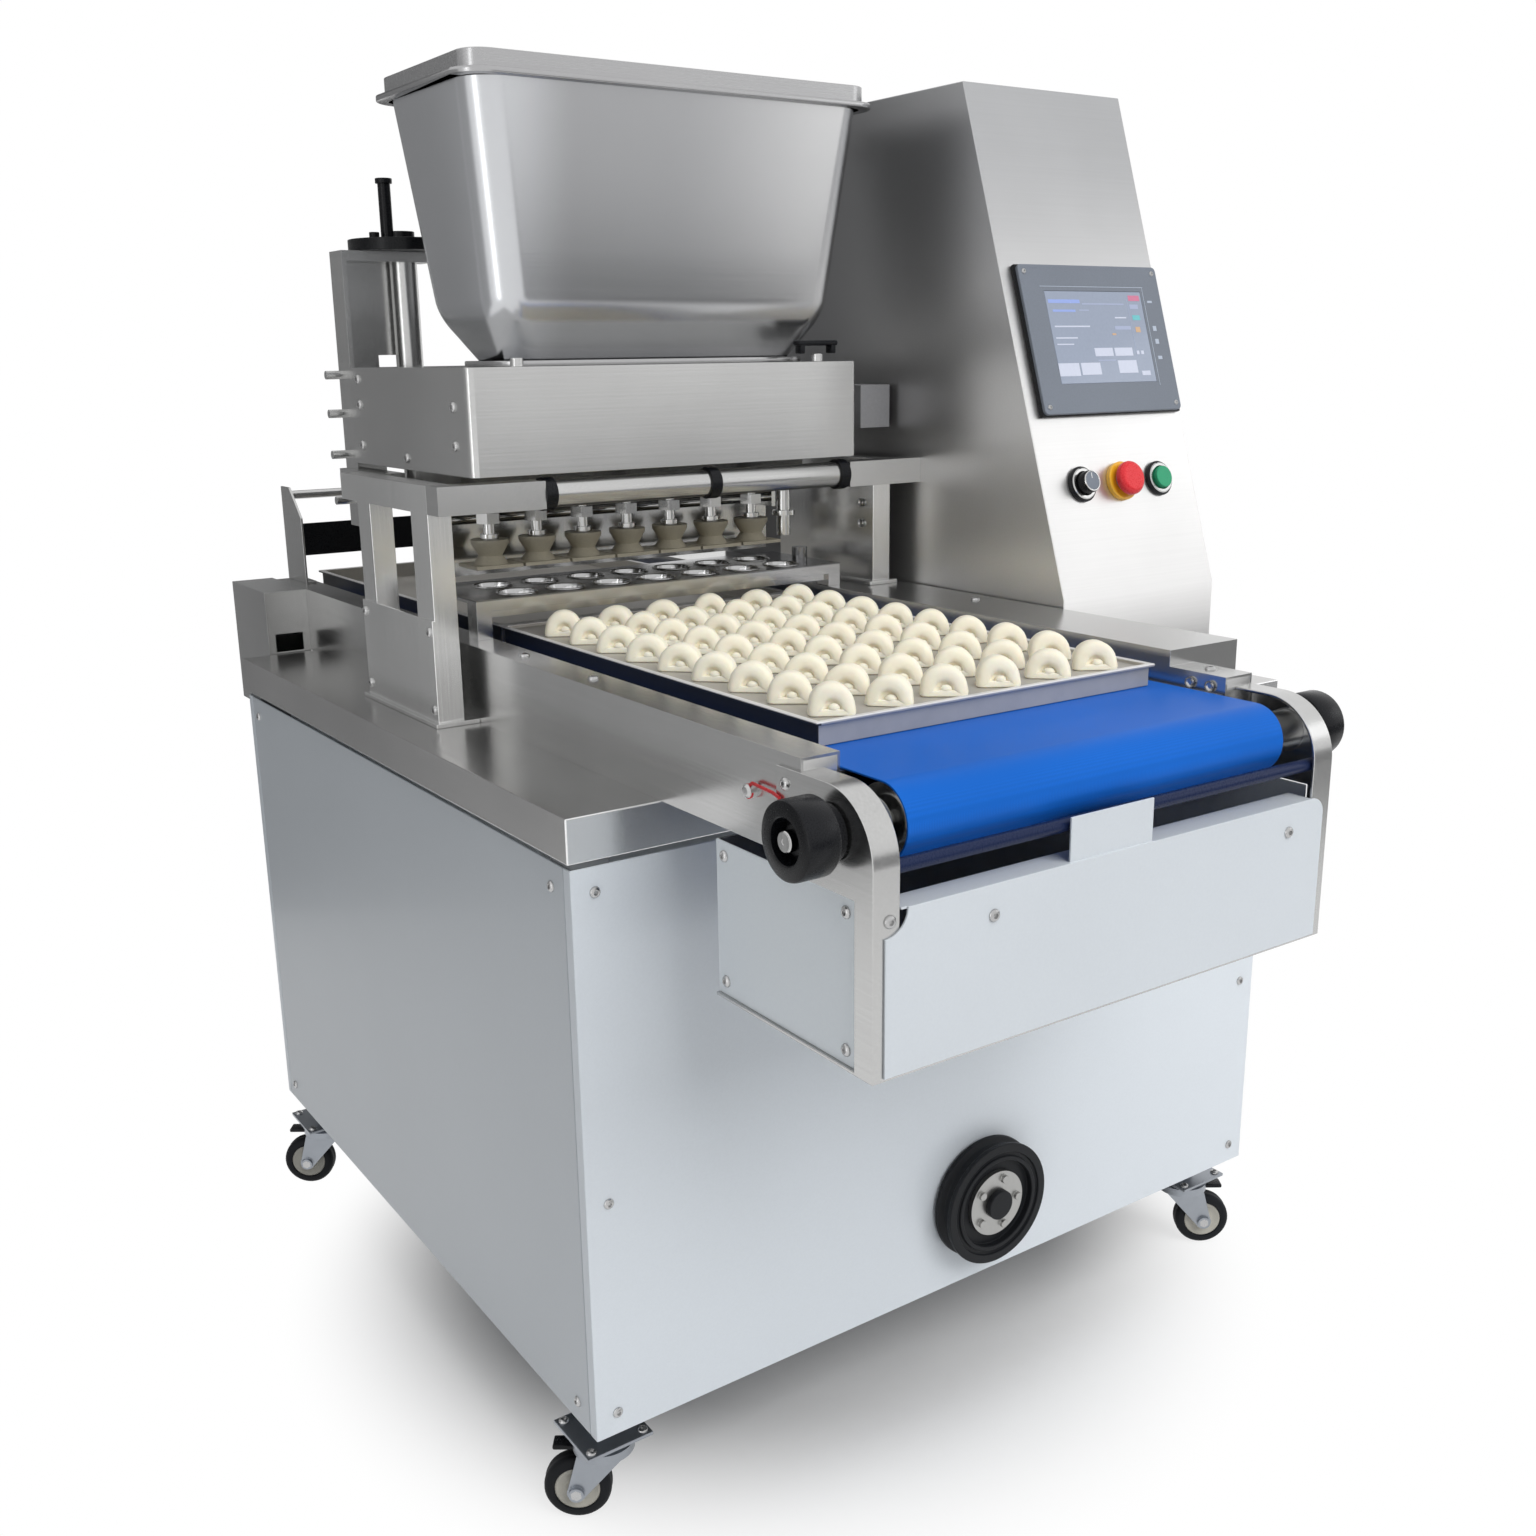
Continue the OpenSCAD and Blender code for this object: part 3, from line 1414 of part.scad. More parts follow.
// The tapered body of the hopper: from the rim to the knee, and from the knee to the outlet
module hopper_body(grow, low, high) {
    hull() {
        hopper_slab(hopper_w - 2 * flange_edge, hopper_d - 2 * flange_edge, hopper_y, high - hopper_t, grow);
        hopper_slab(knee_w, knee_d, hopper_y, head_top + knee_rise, grow);
    }
    hull() {
        hopper_slab(knee_w, knee_d, hopper_y, head_top + knee_rise, grow);
        hopper_slab(outlet_w, outlet_d, hopper_y, low, grow);
    }
}
module hopper() {
    mouth_less = 2 * flange_edge + hopper_t;
    color("silver") {
        difference() {
            hopper_body(0, head_top + foot_t, hopper_rim_z);
            hopper_body(-hopper_t, head_top + foot_t - over, hopper_rim_z + over);
        }
        translate([conveyor_x, hopper_y, hopper_rim_z - flange_t]) linear_extrude(flange_t) difference() {
            rounded(hopper_w, hopper_d, hopper_corner_r);
            rounded(hopper_w - mouth_less, hopper_d - mouth_less, hopper_corner_r);
        }
        translate([conveyor_x, hopper_y, head_top]) linear_extrude(foot_t) difference() {
            rounded(outlet_w + 2 * foot_edge, outlet_d + 2 * foot_edge, hopper_corner_r);
            rounded(outlet_w - 2 * hopper_t, outlet_d - 2 * hopper_t, hopper_corner_r - hopper_t);
        }
    }
}
module hopper_lid() {
    w = hopper_w - 2 * lid_inset;
    d = hopper_d - 2 * lid_inset;
    r = hopper_corner_r - lid_inset;
    color("silver") translate([conveyor_x, hopper_y, hopper_rim_z]) difference() {
        linear_extrude(lid_h) rounded(w, d, r);
        translate([0, 0, -over]) linear_extrude(lid_h - lid_t + over)
            rounded(w - 2 * lid_t, d - 2 * lid_t, r - lid_t);
    }
}

// The round guide of the lift, a tube that the lifting screw runs in
module lift_guide(x, h) {
    difference() {
        bar_z([x, lift_y, lift_shelf_z + bridge_t], h, guide_r);
        bar_z([x, lift_y, lift_shelf_z + bridge_t + guide_wall], h, guide_r - guide_wall);
    }
}
module lift_column() {
    front = head_rear + lift_front_gap;
    rear = front + lift_d;
    plate = post_left + lift_step;
    inside = plate + lift_plate_t;
    lap = post_front + beam_l - lift_lap;
    guide_h = lift_top - bridge_t - lift_shelf_z - bridge_t;
    web_right = lift_x - carriage_w / 2 - lift_web_gap;
    color("silver") {
        block([plate, front, lift_z], [inside, rear, lift_top]);
        block([inside, rear - lift_plate_t, lift_z], [web_right, rear, lift_top]);
        block([inside, rear - lift_plate_t, head_z + carriage_low + carriage_h + lift_web_room],
            [lift_x, rear, lift_top]);
        block([post_left, lap, beam_z], [inside, front, beam_z + beam_h]);
        block([plate, front, beam_z], [inside, rear, beam_z + beam_h]);
        difference() {
            block([inside, front, lift_top - bridge_t], [lift_x + carriage_w / 2, rear, lift_top]);
            bar_z([lift_x, lift_y, lift_top - bridge_t - over], bridge_t + 2 * over, screw_r + fit);
        }
        block([inside, front, lift_shelf_z], [lift_x + carriage_w / 2, rear, lift_shelf_z + bridge_t]);
        lift_guide(lift_x, guide_h);
        for (share = STUD_SHARES) {
            bar_x([plate - stud_l, front + lift_d / 2, lift_z + lift_h * share], stud_l, stud_r);
        }
        block([lift_mirror_x - carriage_w / 2, front, lift_shelf_z],
            [post_right, rear, lift_shelf_z + bridge_t]);
        block([post_right - lift_step, lap, lift_shelf_z], [post_right, front, lift_shelf_z + bridge_t]);
        lift_guide(lift_mirror_x, short_guide_h);
    }
}
module handwheel() {
    disc_z = lift_top + clear;
    screw_low = lift_shelf_z + bridge_t + guide_wall + screw_foot_gap;
    color("black") translate([lift_x, lift_y, 0]) {
        bar_z([0, 0, screw_low], disc_z + wheel_web_t - screw_low, screw_r);
        bar_z([0, 0, disc_z], wheel_hub_h, wheel_hub_r);
        translate([0, 0, disc_z]) difference() {
            cylinder(h = wheel_disc_t, r = handwheel_r);
            translate([0, 0, wheel_web_t]) cylinder(h = wheel_disc_t, r = handwheel_r - wheel_rim_w);
        }
        rotate([0, 0, grip_heading]) {
            translate([handwheel_r * grip_circle_share, 0, disc_z]) rotate_extrude()
                polygon([[0, 0], [grip_r, 0], [grip_r, 2 * grip_cap_h], [grip_waist_r, 2 * grip_cap_h],
                    [grip_waist_r, grip_h - grip_cap_h], [grip_r, grip_h - grip_cap_h], [grip_r, grip_h],
                    [0, grip_h]]);
            bar_z([handwheel_r * small_knob_circle_share, 0, disc_z], small_knob_h, small_knob_r);
        }
    }
}

// The column's outline in Y and Z, drawn in from its walls
module column_outline(wall, low) {
    lean_wall = wall / cos(lean_a);
    knee_wall = wall * tan(lean_a / 2);
    polygon([[column_front + wall, low], [column_front + wall, column_kick_z + knee_wall],
        [column_top_front + lean_wall - wall * tan(lean_a), column_top_z - wall],
        [column_rear - wall, column_top_z - wall], [column_rear - wall, low]]);
}
module control_column() {
    color("silver") difference() {
        plate_yz(column_left, column_w) column_outline(0, top_z);
        plate_yz(column_left + column_t, column_w - 2 * column_t) column_outline(column_t, top_z - over);
    }
}
module hmi_panel() {
    color("dimgray") on_slope(hmi_x, hmi_up) rotate(FRONT) difference() {
        linear_extrude(hmi_t) rounded(hmi_w, hmi_h, hmi_corner_r);
        translate([0, screen_up, hmi_t - hmi_pocket_d]) linear_extrude(hmi_pocket_d + over)
            square([screen_w, screen_h], center = true);
    }
}
module hmi_screen() {
    color("lightslategray") on_slope(hmi_x, hmi_up) rotate(FRONT)
        translate([0, screen_up, hmi_t - hmi_pocket_d]) linear_extrude(hmi_pocket_d - clear)
            square([screen_w, screen_h], center = true);
}
// A button's own place: Z points out of the column front
module at_button(i) {
    on_slope(panel_x + i * button_pitch, button_up) rotate(FRONT) children();
}
module ring(r, h, bore_r) {
    difference() {
        cylinder(h = h, r = r);
        translate([0, 0, -over]) cylinder(h = h + 2 * over, r = bore_r);
    }
}
module button_bezels() {
    color("gold") {
        at_button(-1) ring(bezel_r, bezel_h, selector_r + fit);
        at_button(0) ring(estop_collar_r, bezel_h, estop_stem_r + fit);
        at_button(1) ring(bezel_r, bezel_h, start_r + fit);
    }
}
module estop_button() {
    color("red") at_button(0) {
        translate([0, 0, cap_floor + estop_travel - clear]) cylinder(h = estop_rise, r = estop_stem_r);
        translate([0, 0, bezel_h + estop_travel + over]) {
            cylinder(h = estop_head_h - estop_crown_h, r = estop_r);
            translate([0, 0, estop_head_h - estop_crown_h])
                cylinder(h = estop_crown_h, r1 = estop_r, r2 = estop_r - estop_crown_h);
        }
    }
}
module start_button() {
    color("green") at_button(1) translate([0, 0, cap_floor + start_travel])
        cylinder(h = bezel_h - cap_floor - start_travel + cap_proud, r = start_r);
}
module selector_knob() {
    color("black") at_button(-1) {
        translate([0, 0, cap_floor]) cylinder(h = selector_body_h, r = selector_r);
        translate([-grip_bar_w / 2, -selector_r + grip_bar_w / 4, cap_floor + selector_body_h])
            cube([grip_bar_w, 2 * selector_r - grip_bar_w / 2, grip_bar_h]);
    }
}

base_frame();
front_panel();
rear_panel();
left_panel();
right_panel();
worktop();
case_screws();
cable_gland();
caster_plates();
caster_fork_fl();
caster_fork_fr();
caster_fork_rl();
caster_fork_rr();
caster_wheel_fl();
caster_wheel_fr();
caster_wheel_rl();
caster_wheel_rr();
pulley_wheel();
pulley_hub();
left_rail();
right_rail();
slider_bed();
conveyor_belt();
drive_roller();
tail_roller();
nose_frame();
drive_knobs();
front_cover();
side_covers();
scraper_bar();
release_lever();
baking_tray();
dough_pieces();
cup_mould();
infeed_tray();
infeed_guard();
guard_panel();
rear_box();
left_portal();
right_portal();
cross_bar();
bar_collars();
head_casing();
head_screws();
nozzle_manifold();
nozzle_tips();
feed_roller_front();
feed_roller_rear();
hopper();
hopper_lid();
lift_column();
handwheel();
gear_motor();
control_column();
hmi_panel();
hmi_screen();
estop_button();
start_button();
selector_knob();
button_bezels();
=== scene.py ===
"""Dresses the cookie depositor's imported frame: steel, enamel, belt, dough and controls."""
import json
import math

import bmesh
import bpy
from bpy.props import FloatProperty, FloatVectorProperty, IntProperty, PointerProperty
from mathutils import Matrix, Vector


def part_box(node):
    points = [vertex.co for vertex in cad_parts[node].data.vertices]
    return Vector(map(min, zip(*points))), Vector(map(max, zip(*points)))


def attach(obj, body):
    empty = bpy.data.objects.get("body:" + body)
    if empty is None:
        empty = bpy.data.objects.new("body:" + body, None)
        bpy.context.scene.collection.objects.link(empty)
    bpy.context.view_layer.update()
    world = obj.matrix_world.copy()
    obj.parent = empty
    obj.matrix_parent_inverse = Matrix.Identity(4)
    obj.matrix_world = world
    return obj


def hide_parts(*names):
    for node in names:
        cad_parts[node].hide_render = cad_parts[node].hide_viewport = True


bl_info = {
    "name": "Cookie depositor",
    "version": (1, 0, 0),
    "blender": (4, 5, 0),
    "location": "3D View > Sidebar > Depositor",
    "description": "Builds the visible pieces of a wheeled cookie depositor on its frame",
    "category": "Object",
}

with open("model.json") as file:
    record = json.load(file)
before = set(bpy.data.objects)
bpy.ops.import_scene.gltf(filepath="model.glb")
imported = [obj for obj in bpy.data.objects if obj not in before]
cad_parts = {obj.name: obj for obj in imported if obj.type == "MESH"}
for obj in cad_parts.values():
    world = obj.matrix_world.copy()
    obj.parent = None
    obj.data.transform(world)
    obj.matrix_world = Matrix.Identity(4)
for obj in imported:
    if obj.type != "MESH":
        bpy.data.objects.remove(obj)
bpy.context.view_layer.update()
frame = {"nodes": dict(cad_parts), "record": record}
nodes = frame["nodes"]
body_of_node = {
    node: body for body, members in frame["record"]["behaviour"]["bodies"].items() for node in members
}

# The column's sloping front: outwards, upwards, and its foot above the column's foot
SLOPE = Vector((0.0, -0.9498, 0.3128))
SLOPE_UP = Vector((0.0, 0.3128, 0.9498))
SLOPE_FOOT = 0.108
RIGHT = Vector((1.0, 0.0, 0.0))
AHEAD = Vector((0.0, 1.0, 0.0))
UP = Vector((0.0, 0.0, 1.0))


def colour(label, about, value):
    """A colour that a user may change"""
    return FloatVectorProperty(
        name=label, description=about, default=value, size=3, min=0.0, max=1.0, subtype="COLOR"
    )


def size(label, about, value):
    """A length that a user may change"""
    return FloatProperty(name=label, description=about, default=value, min=0.0, unit="LENGTH")


def swing(label, about, degrees):
    """An angle that a user may change"""
    return FloatProperty(name=label, description=about, default=math.radians(degrees), subtype="ANGLE")


def amount(label, about, value):
    """A plain number that a user may change"""
    return FloatProperty(name=label, description=about, default=value)


class DepositorColours(bpy.types.PropertyGroup):
    """Colours of the finishes"""

    enamel: colour("Enamel", "Powder coat of the cabinet and the covers", (0.74, 0.785, 0.83))
    frame: colour("Frame", "Paint of the square tube under the cabinet", (0.2, 0.21, 0.22))
    sheet: colour("Sheet", "Brushed stainless sheet of the rails and portals", (0.56, 0.56, 0.555))
    worktop: colour("Worktop", "Brushed sheet of the worktop", (0.55, 0.545, 0.54))
    # Painted highlight: the worktop's folded front edge gets a brighter colour than its top
    worktop_front_highlight: colour("Worktop front", "Folded front edge of the worktop", (0.9, 0.9, 0.905))
    column: colour("Column", "Brushed sheet of the control column", (0.77, 0.765, 0.76))
    # Painted shade: the column's upper part is darker than its lower part
    column_top_painted_shade: colour("Column top", "Upper part of the control column", (0.46, 0.465, 0.475))
    # Painted reflection: the hopper's left and right ends are brighter than its middle
    hopper_left_highlight: colour("Hopper left", "Brighter left side of the hopper", (0.62, 0.63, 0.65))
    hopper: colour("Hopper", "Satin sheet of the hopper", (0.4, 0.405, 0.415))
    hopper_right_highlight: colour("Hopper right", "Brighter right end of the hopper", (0.66, 0.66, 0.665))
    lid: colour("Lid", "Sheet of the lid", (0.44, 0.44, 0.445))
    head: colour("Head", "Brushed sheet of the depositing head", (0.56, 0.56, 0.555))
    # Painted shade on the column's left side
    column_side_painted_shade: colour("Column side", "Brushed sheet of the column's left side", (0.24, 0.24, 0.245))
    polished: colour("Polished", "Turned stainless shafts and stems", (0.54, 0.54, 0.535))
    screw: colour("Screw", "Screw heads", (0.5, 0.5, 0.5))
    zinc: colour("Zinc", "Plated caster forks", (0.33, 0.352, 0.385))
    rubber: colour("Rubber", "Tyres and the grooved wheel", (0.011, 0.012, 0.014))
    plastic: colour("Black plastic", "Knobs, collars and the handwheel", (0.0055, 0.006, 0.0075))
    rim: colour("Rim", "Caster rims", (0.5, 0.48, 0.42))
    hub: colour("Hub", "Machined hub of the grooved wheel", (0.42, 0.42, 0.41))
    belt: colour("Belt", "Food belt", (0.01, 0.13, 0.56))
    navy: colour("Navy", "Sleeve on the scraper tube", (0.012, 0.02, 0.06))
    stop: colour("Stop", "Red caps and levers", (0.68, 0.022, 0.03))
    start: colour("Start", "Green cap", (0.012, 0.3, 0.14))
    collar: colour("Collar", "Yellow collar under the stop cap", (0.8, 0.42, 0.02))
    tray: colour("Tray", "Bare tray sheet", (0.5, 0.48, 0.445))
    tray_shade: colour("Tray side", "Left skirt of the trays, in the rail's shade", (0.035, 0.035, 0.037))
    # Painted highlight along the trays' upper edge
    tray_rim_highlight: colour("Tray rim", "Bright upper edge of the trays", (0.82, 0.81, 0.8))
    dough: colour("Dough", "Cookie dough", (0.98, 0.91, 0.75))
    mould: colour("Mould", "Polished front of the cup plate", (0.7, 0.7, 0.705))
    # Painted shade on the top of the cup plate
    mould_top_painted_shade: colour("Mould top", "Dark top of the cup plate", (0.24, 0.24, 0.245))
    liner: colour("Cup liner", "Bright cups in the plate", (0.5, 0.5, 0.5))
    cream: colour("Cream", "Moulded nozzle tips", (0.5, 0.46, 0.36))
    motor: colour("Motor", "Cast gearbox and motor shell", (0.26, 0.26, 0.27))
    slate: colour("Slate", "Bezel of the display", (0.17, 0.19, 0.225))
    key: colour("Key", "Fields and keys on the display", (0.44, 0.465, 0.55))
    screen: colour("Screen", "Ground colour of the display", (0.24, 0.275, 0.35))


class DepositorSizes(bpy.types.PropertyGroup):
    """Sizes of the shapes that the frame doesn't give"""

    fold_round: size("Fold", "Rounding of folded sheet edges", 0.003)
    cover_round: size("Cover edge", "Rounding of the enamelled edges", 0.003)
    small_round: size("Small edge", "Rounding of machined edges", 0.0008)
    screw_round: size("Screw head", "Radius of a screw head", 0.0055)
    rim_wire: size("Cup rim", "Half thickness of the bright cup rims", 0.0012)
    dough_width: size("Roll width", "Width of a dough roll", 0.043)
    dough_length: size("Roll length", "Length of a dough roll", 0.039)
    dough_height: size("Roll height", "Height of a dough roll", 0.029)
    dough_turn: swing("Roll turn", "Turn of the rolls on the tray", -38.0)
    turn_steps: IntProperty(name="Turn steps", description="Steps of a turned piece", default=48, min=12)


class DepositorStage(bpy.types.PropertyGroup):
    """Light and camera"""

    key: amount("Key", "Power of the lamp before the machine", 118.0)
    fill: amount("Fill", "Power of the lamp at the left", 3.0)
    top: amount("Top", "Power of the lamp overhead", 22.0)
    sky: amount("Sky", "Strength of the even light", 0.25)
    lens: amount("Lens", "Focal length on a 36 mm sensor", 36.39)
    eye: FloatVectorProperty(
        name="Eye", description="Place of the camera", default=(-1.0605, -1.5407, 1.1591), subtype="XYZ"
    )
    yaw: swing("Yaw", "Turn of the camera from +Y to +X", 34.484)
    pitch: swing("Pitch", "Tilt of the camera", -14.978)
    roll: swing("Roll", "Roll of the camera", -0.773)


# Shaders
def feed(tree, made, inputs):
    """Links or sets the inputs of a shader node"""
    for key, value in inputs.items():
        if isinstance(value, bpy.types.NodeSocket):
            tree.links.new(value, made.inputs[key])
        else:
            made.inputs[key].default_value = value


def place(tree, kind, inputs=None, **options):
    """Puts a shader node in a tree with its options, constants and links"""
    made = tree.nodes.new(kind)
    for key, value in options.items():
        setattr(made, key, value)
    feed(tree, made, inputs or {})
    return made


def maths(tree, operation, first, second):
    """The result of an operation on two values"""
    return place(tree, "ShaderNodeMath", {0: first, 1: second}, operation=operation).outputs[0]


def fade(tree, value, begin, end):
    """A share that grows smoothly from none to all while a value goes from begin to end"""
    return place(tree, "ShaderNodeMapRange", {
        "Value": value, "From Min": begin, "From Max": end,
    }, interpolation_type="SMOOTHSTEP").outputs["Result"]


def new_material(name):
    """A new material, its tree, its shader and the object's coordinates"""
    made = bpy.data.materials.new(name)
    made.use_nodes = True
    tree = made.node_tree
    return made, tree, tree.nodes["Principled BSDF"], place(tree, "ShaderNodeTexCoord").outputs["Object"]


def noise(tree, vector, scale, detail=2.0, rough=0.5):
    """The value of a noise texture"""
    inputs = {"Vector": vector, "Scale": scale, "Detail": detail, "Roughness": rough}
    return place(tree, "ShaderNodeTexNoise", inputs).outputs["Fac"]


def pattern(name, setting, cloud_scale, make_fine):
    """A node group with soft clouds, and a fine output that a function makes from the group's inputs"""
    if name in bpy.data.node_groups:
        return bpy.data.node_groups[name]
    tree = bpy.data.node_groups.new(name, "ShaderNodeTree")
    for label, kind, value in (
        ("Vector", "NodeSocketVector", None), setting, ("Cloud Scale", "NodeSocketFloat", cloud_scale),
    ):
        socket = tree.interface.new_socket(name=label, in_out="INPUT", socket_type=kind)
        if value is not None:
            socket.default_value = value
    for label in ("Fine", "Cloud"):
        tree.interface.new_socket(name=label, in_out="OUTPUT", socket_type="NodeSocketFloat")
    given = tree.nodes.new("NodeGroupInput").outputs
    fine = make_fine(tree, given)
    cloud = noise(tree, given["Vector"], given["Cloud Scale"], 3.0)
    place(tree, "NodeGroupOutput", {"Fine": fine, "Cloud": cloud})
    return tree


def brushing():
    """Streaks of a brushed sheet"""
    def streaks(tree, given):
        along = place(tree, "ShaderNodeMapping", {"Vector": given["Vector"], "Scale": given["Grain"]})
        return noise(tree, along.outputs["Vector"], 1.0, 5.0, 0.65)

    return pattern("Brushing", ("Grain", "NodeSocketVector", (3.0, 3.0, 400.0)), 4.0, streaks)


def peel():
    """Fine peel of a coat or moulding"""
    def grains(tree, given):
        return noise(tree, given["Vector"], given["Fine Scale"])

    return pattern("Peel", ("Fine Scale", "NodeSocketFloat", 600.0), 3.0, grains)


def weave():
    """Crossed threads of a woven belt"""
    def threads(tree, given):
        ways = [
            place(tree, "ShaderNodeTexWave", {
                "Vector": given["Vector"], "Scale": given["Threads"], "Distortion": 0.6,
            }, wave_type="BANDS", bands_direction=way).outputs["Fac"]
            for way in ("X", "Y")
        ]
        return maths(tree, "MULTIPLY", *ways)

    return pattern("Weave", ("Threads", "NodeSocketFloat", 220.0), 5.0, threads)


def shaded(value, by):
    """A colour made darker or lighter"""
    return tuple(min(1.0, part * by) for part in value) + (1.0,)


TONE_SPOTS = (0.3, 0.7)
FINE_SHARE = 0.35
COAT_ROUGHNESS = 0.12
SOFT_RADIUS, SOFT_DEPTH = (1.0, 0.7, 0.4), 0.006


def finish(name, value, kind, settings, rough, metal, tone, bump, depth=0.0004, coat=0.0, soft=0.0, sweeps=(),
           lit=0.0, shine=0.5, dyed=None):
    """A material of one colour whose tone, roughness and bump follow a pattern.
    Each sweep is (direction, start, end, colour): the colour changes to that one along the direction.
    dyed names a colour attribute that the colour is multiplied by."""
    if name in bpy.data.materials:
        return bpy.data.materials[name]
    made, tree, shader, where = new_material(name)
    group = place(tree, "ShaderNodeGroup", node_tree=kind)
    feed(tree, group, {"Vector": where, **settings})
    fine, cloud = group.outputs["Fine"], group.outputs["Cloud"]
    mixed = place(tree, "ShaderNodeMix", {0: FINE_SHARE, 2: cloud, 3: fine}, data_type="FLOAT").outputs[0]

    def ramp(base):
        made_ramp = place(tree, "ShaderNodeValToRGB", {"Fac": mixed})
        for stop, spot, by in zip(made_ramp.color_ramp.elements, TONE_SPOTS, tone):
            stop.position = spot
            stop.color = shaded(base, by)
        return made_ramp.outputs["Color"]

    tint = ramp(value)
    for direction, begin, end, other in sweeps:
        along = place(tree, "ShaderNodeVectorMath", {0: where, 1: direction}, operation="DOT_PRODUCT")
        share = fade(tree, along.outputs["Value"], begin, end)
        tint = place(tree, "ShaderNodeMix", {0: share, 6: tint, 7: ramp(other)}, data_type="RGBA").outputs[2]
    if dyed:
        dye = place(tree, "ShaderNodeAttribute", attribute_name=dyed).outputs["Color"]
        tint = place(
            tree, "ShaderNodeMix", {0: 1.0, 6: tint, 7: dye}, data_type="RGBA", blend_type="MULTIPLY"
        ).outputs[2]
    gloss = place(tree, "ShaderNodeMapRange", {"Value": fine, "To Min": rough[0], "To Max": rough[1]})
    relief = place(tree, "ShaderNodeBump", {"Height": fine, "Strength": bump, "Distance": depth})
    feed(tree, shader, {
        "Base Color": tint, "Roughness": gloss.outputs["Result"], "Normal": relief.outputs["Normal"],
        "Metallic": metal, "Specular IOR Level": shine, "Coat Weight": coat, "Coat Roughness": COAT_ROUGHNESS,
    })
    if soft:
        feed(tree, shader, {
            "Subsurface Weight": soft, "Subsurface Radius": SOFT_RADIUS, "Subsurface Scale": SOFT_DEPTH,
        })
    if lit:
        feed(tree, shader, {"Emission Color": tint, "Emission Strength": lit})
    return made


# Edges of nodes that sweeps of colour start from
WORKTOP_FRONT = -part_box("worktop")[0].y
TRAY_LEFT, TRAY_TOP = -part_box("baking_tray")[0].x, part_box("baking_tray")[1].z
MOULD_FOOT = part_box("cup_mould")[0].z
# A sweep along this direction only reaches the column's left side, more so towards the rear; it paints shade on
# that side
SIDE_SHADE_WAY, SIDE_SHADE_FROM, SIDE_SHADE_TO = (-1000.0, 5.0, 0.0), -220.7, -218.9
# Grain of a brushed sheet
ALONG_X = (4.0, 500.0, 500.0)
ALONG_Y = (500.0, 4.0, 500.0)
ALONG_Z = (500.0, 500.0, 4.0)
# Even tone and faint streaks
SATIN = {"tone": (0.95, 1.04), "bump": 0.015}


def steel(name, value, grain, rough=(0.16, 0.3), metal=0.95, tone=(0.86, 1.1), bump=0.06, **more):
    """A brushed sheet"""
    return finish(name, value, brushing(), {"Grain": grain}, rough, metal, tone, bump, **more)


def moulded(name, value, rough=(0.35, 0.5), fine=700.0, tone=(0.88, 1.12), bump=0.08, **more):
    """A moulded or coated surface"""
    return finish(name, value, peel(), {"Fine Scale": fine}, rough, 0.0, tone, bump, **more)


def enamelled(name, by=1.0):
    """The powder coat, made darker for painted shade and lighter for painted light"""
    value = shaded(bpy.context.scene.depositor_colours.enamel, by)[:3]
    return moulded(name, value, (0.34, 0.44), 420.0, (0.97, 1.03), 0.03, coat=0.12)


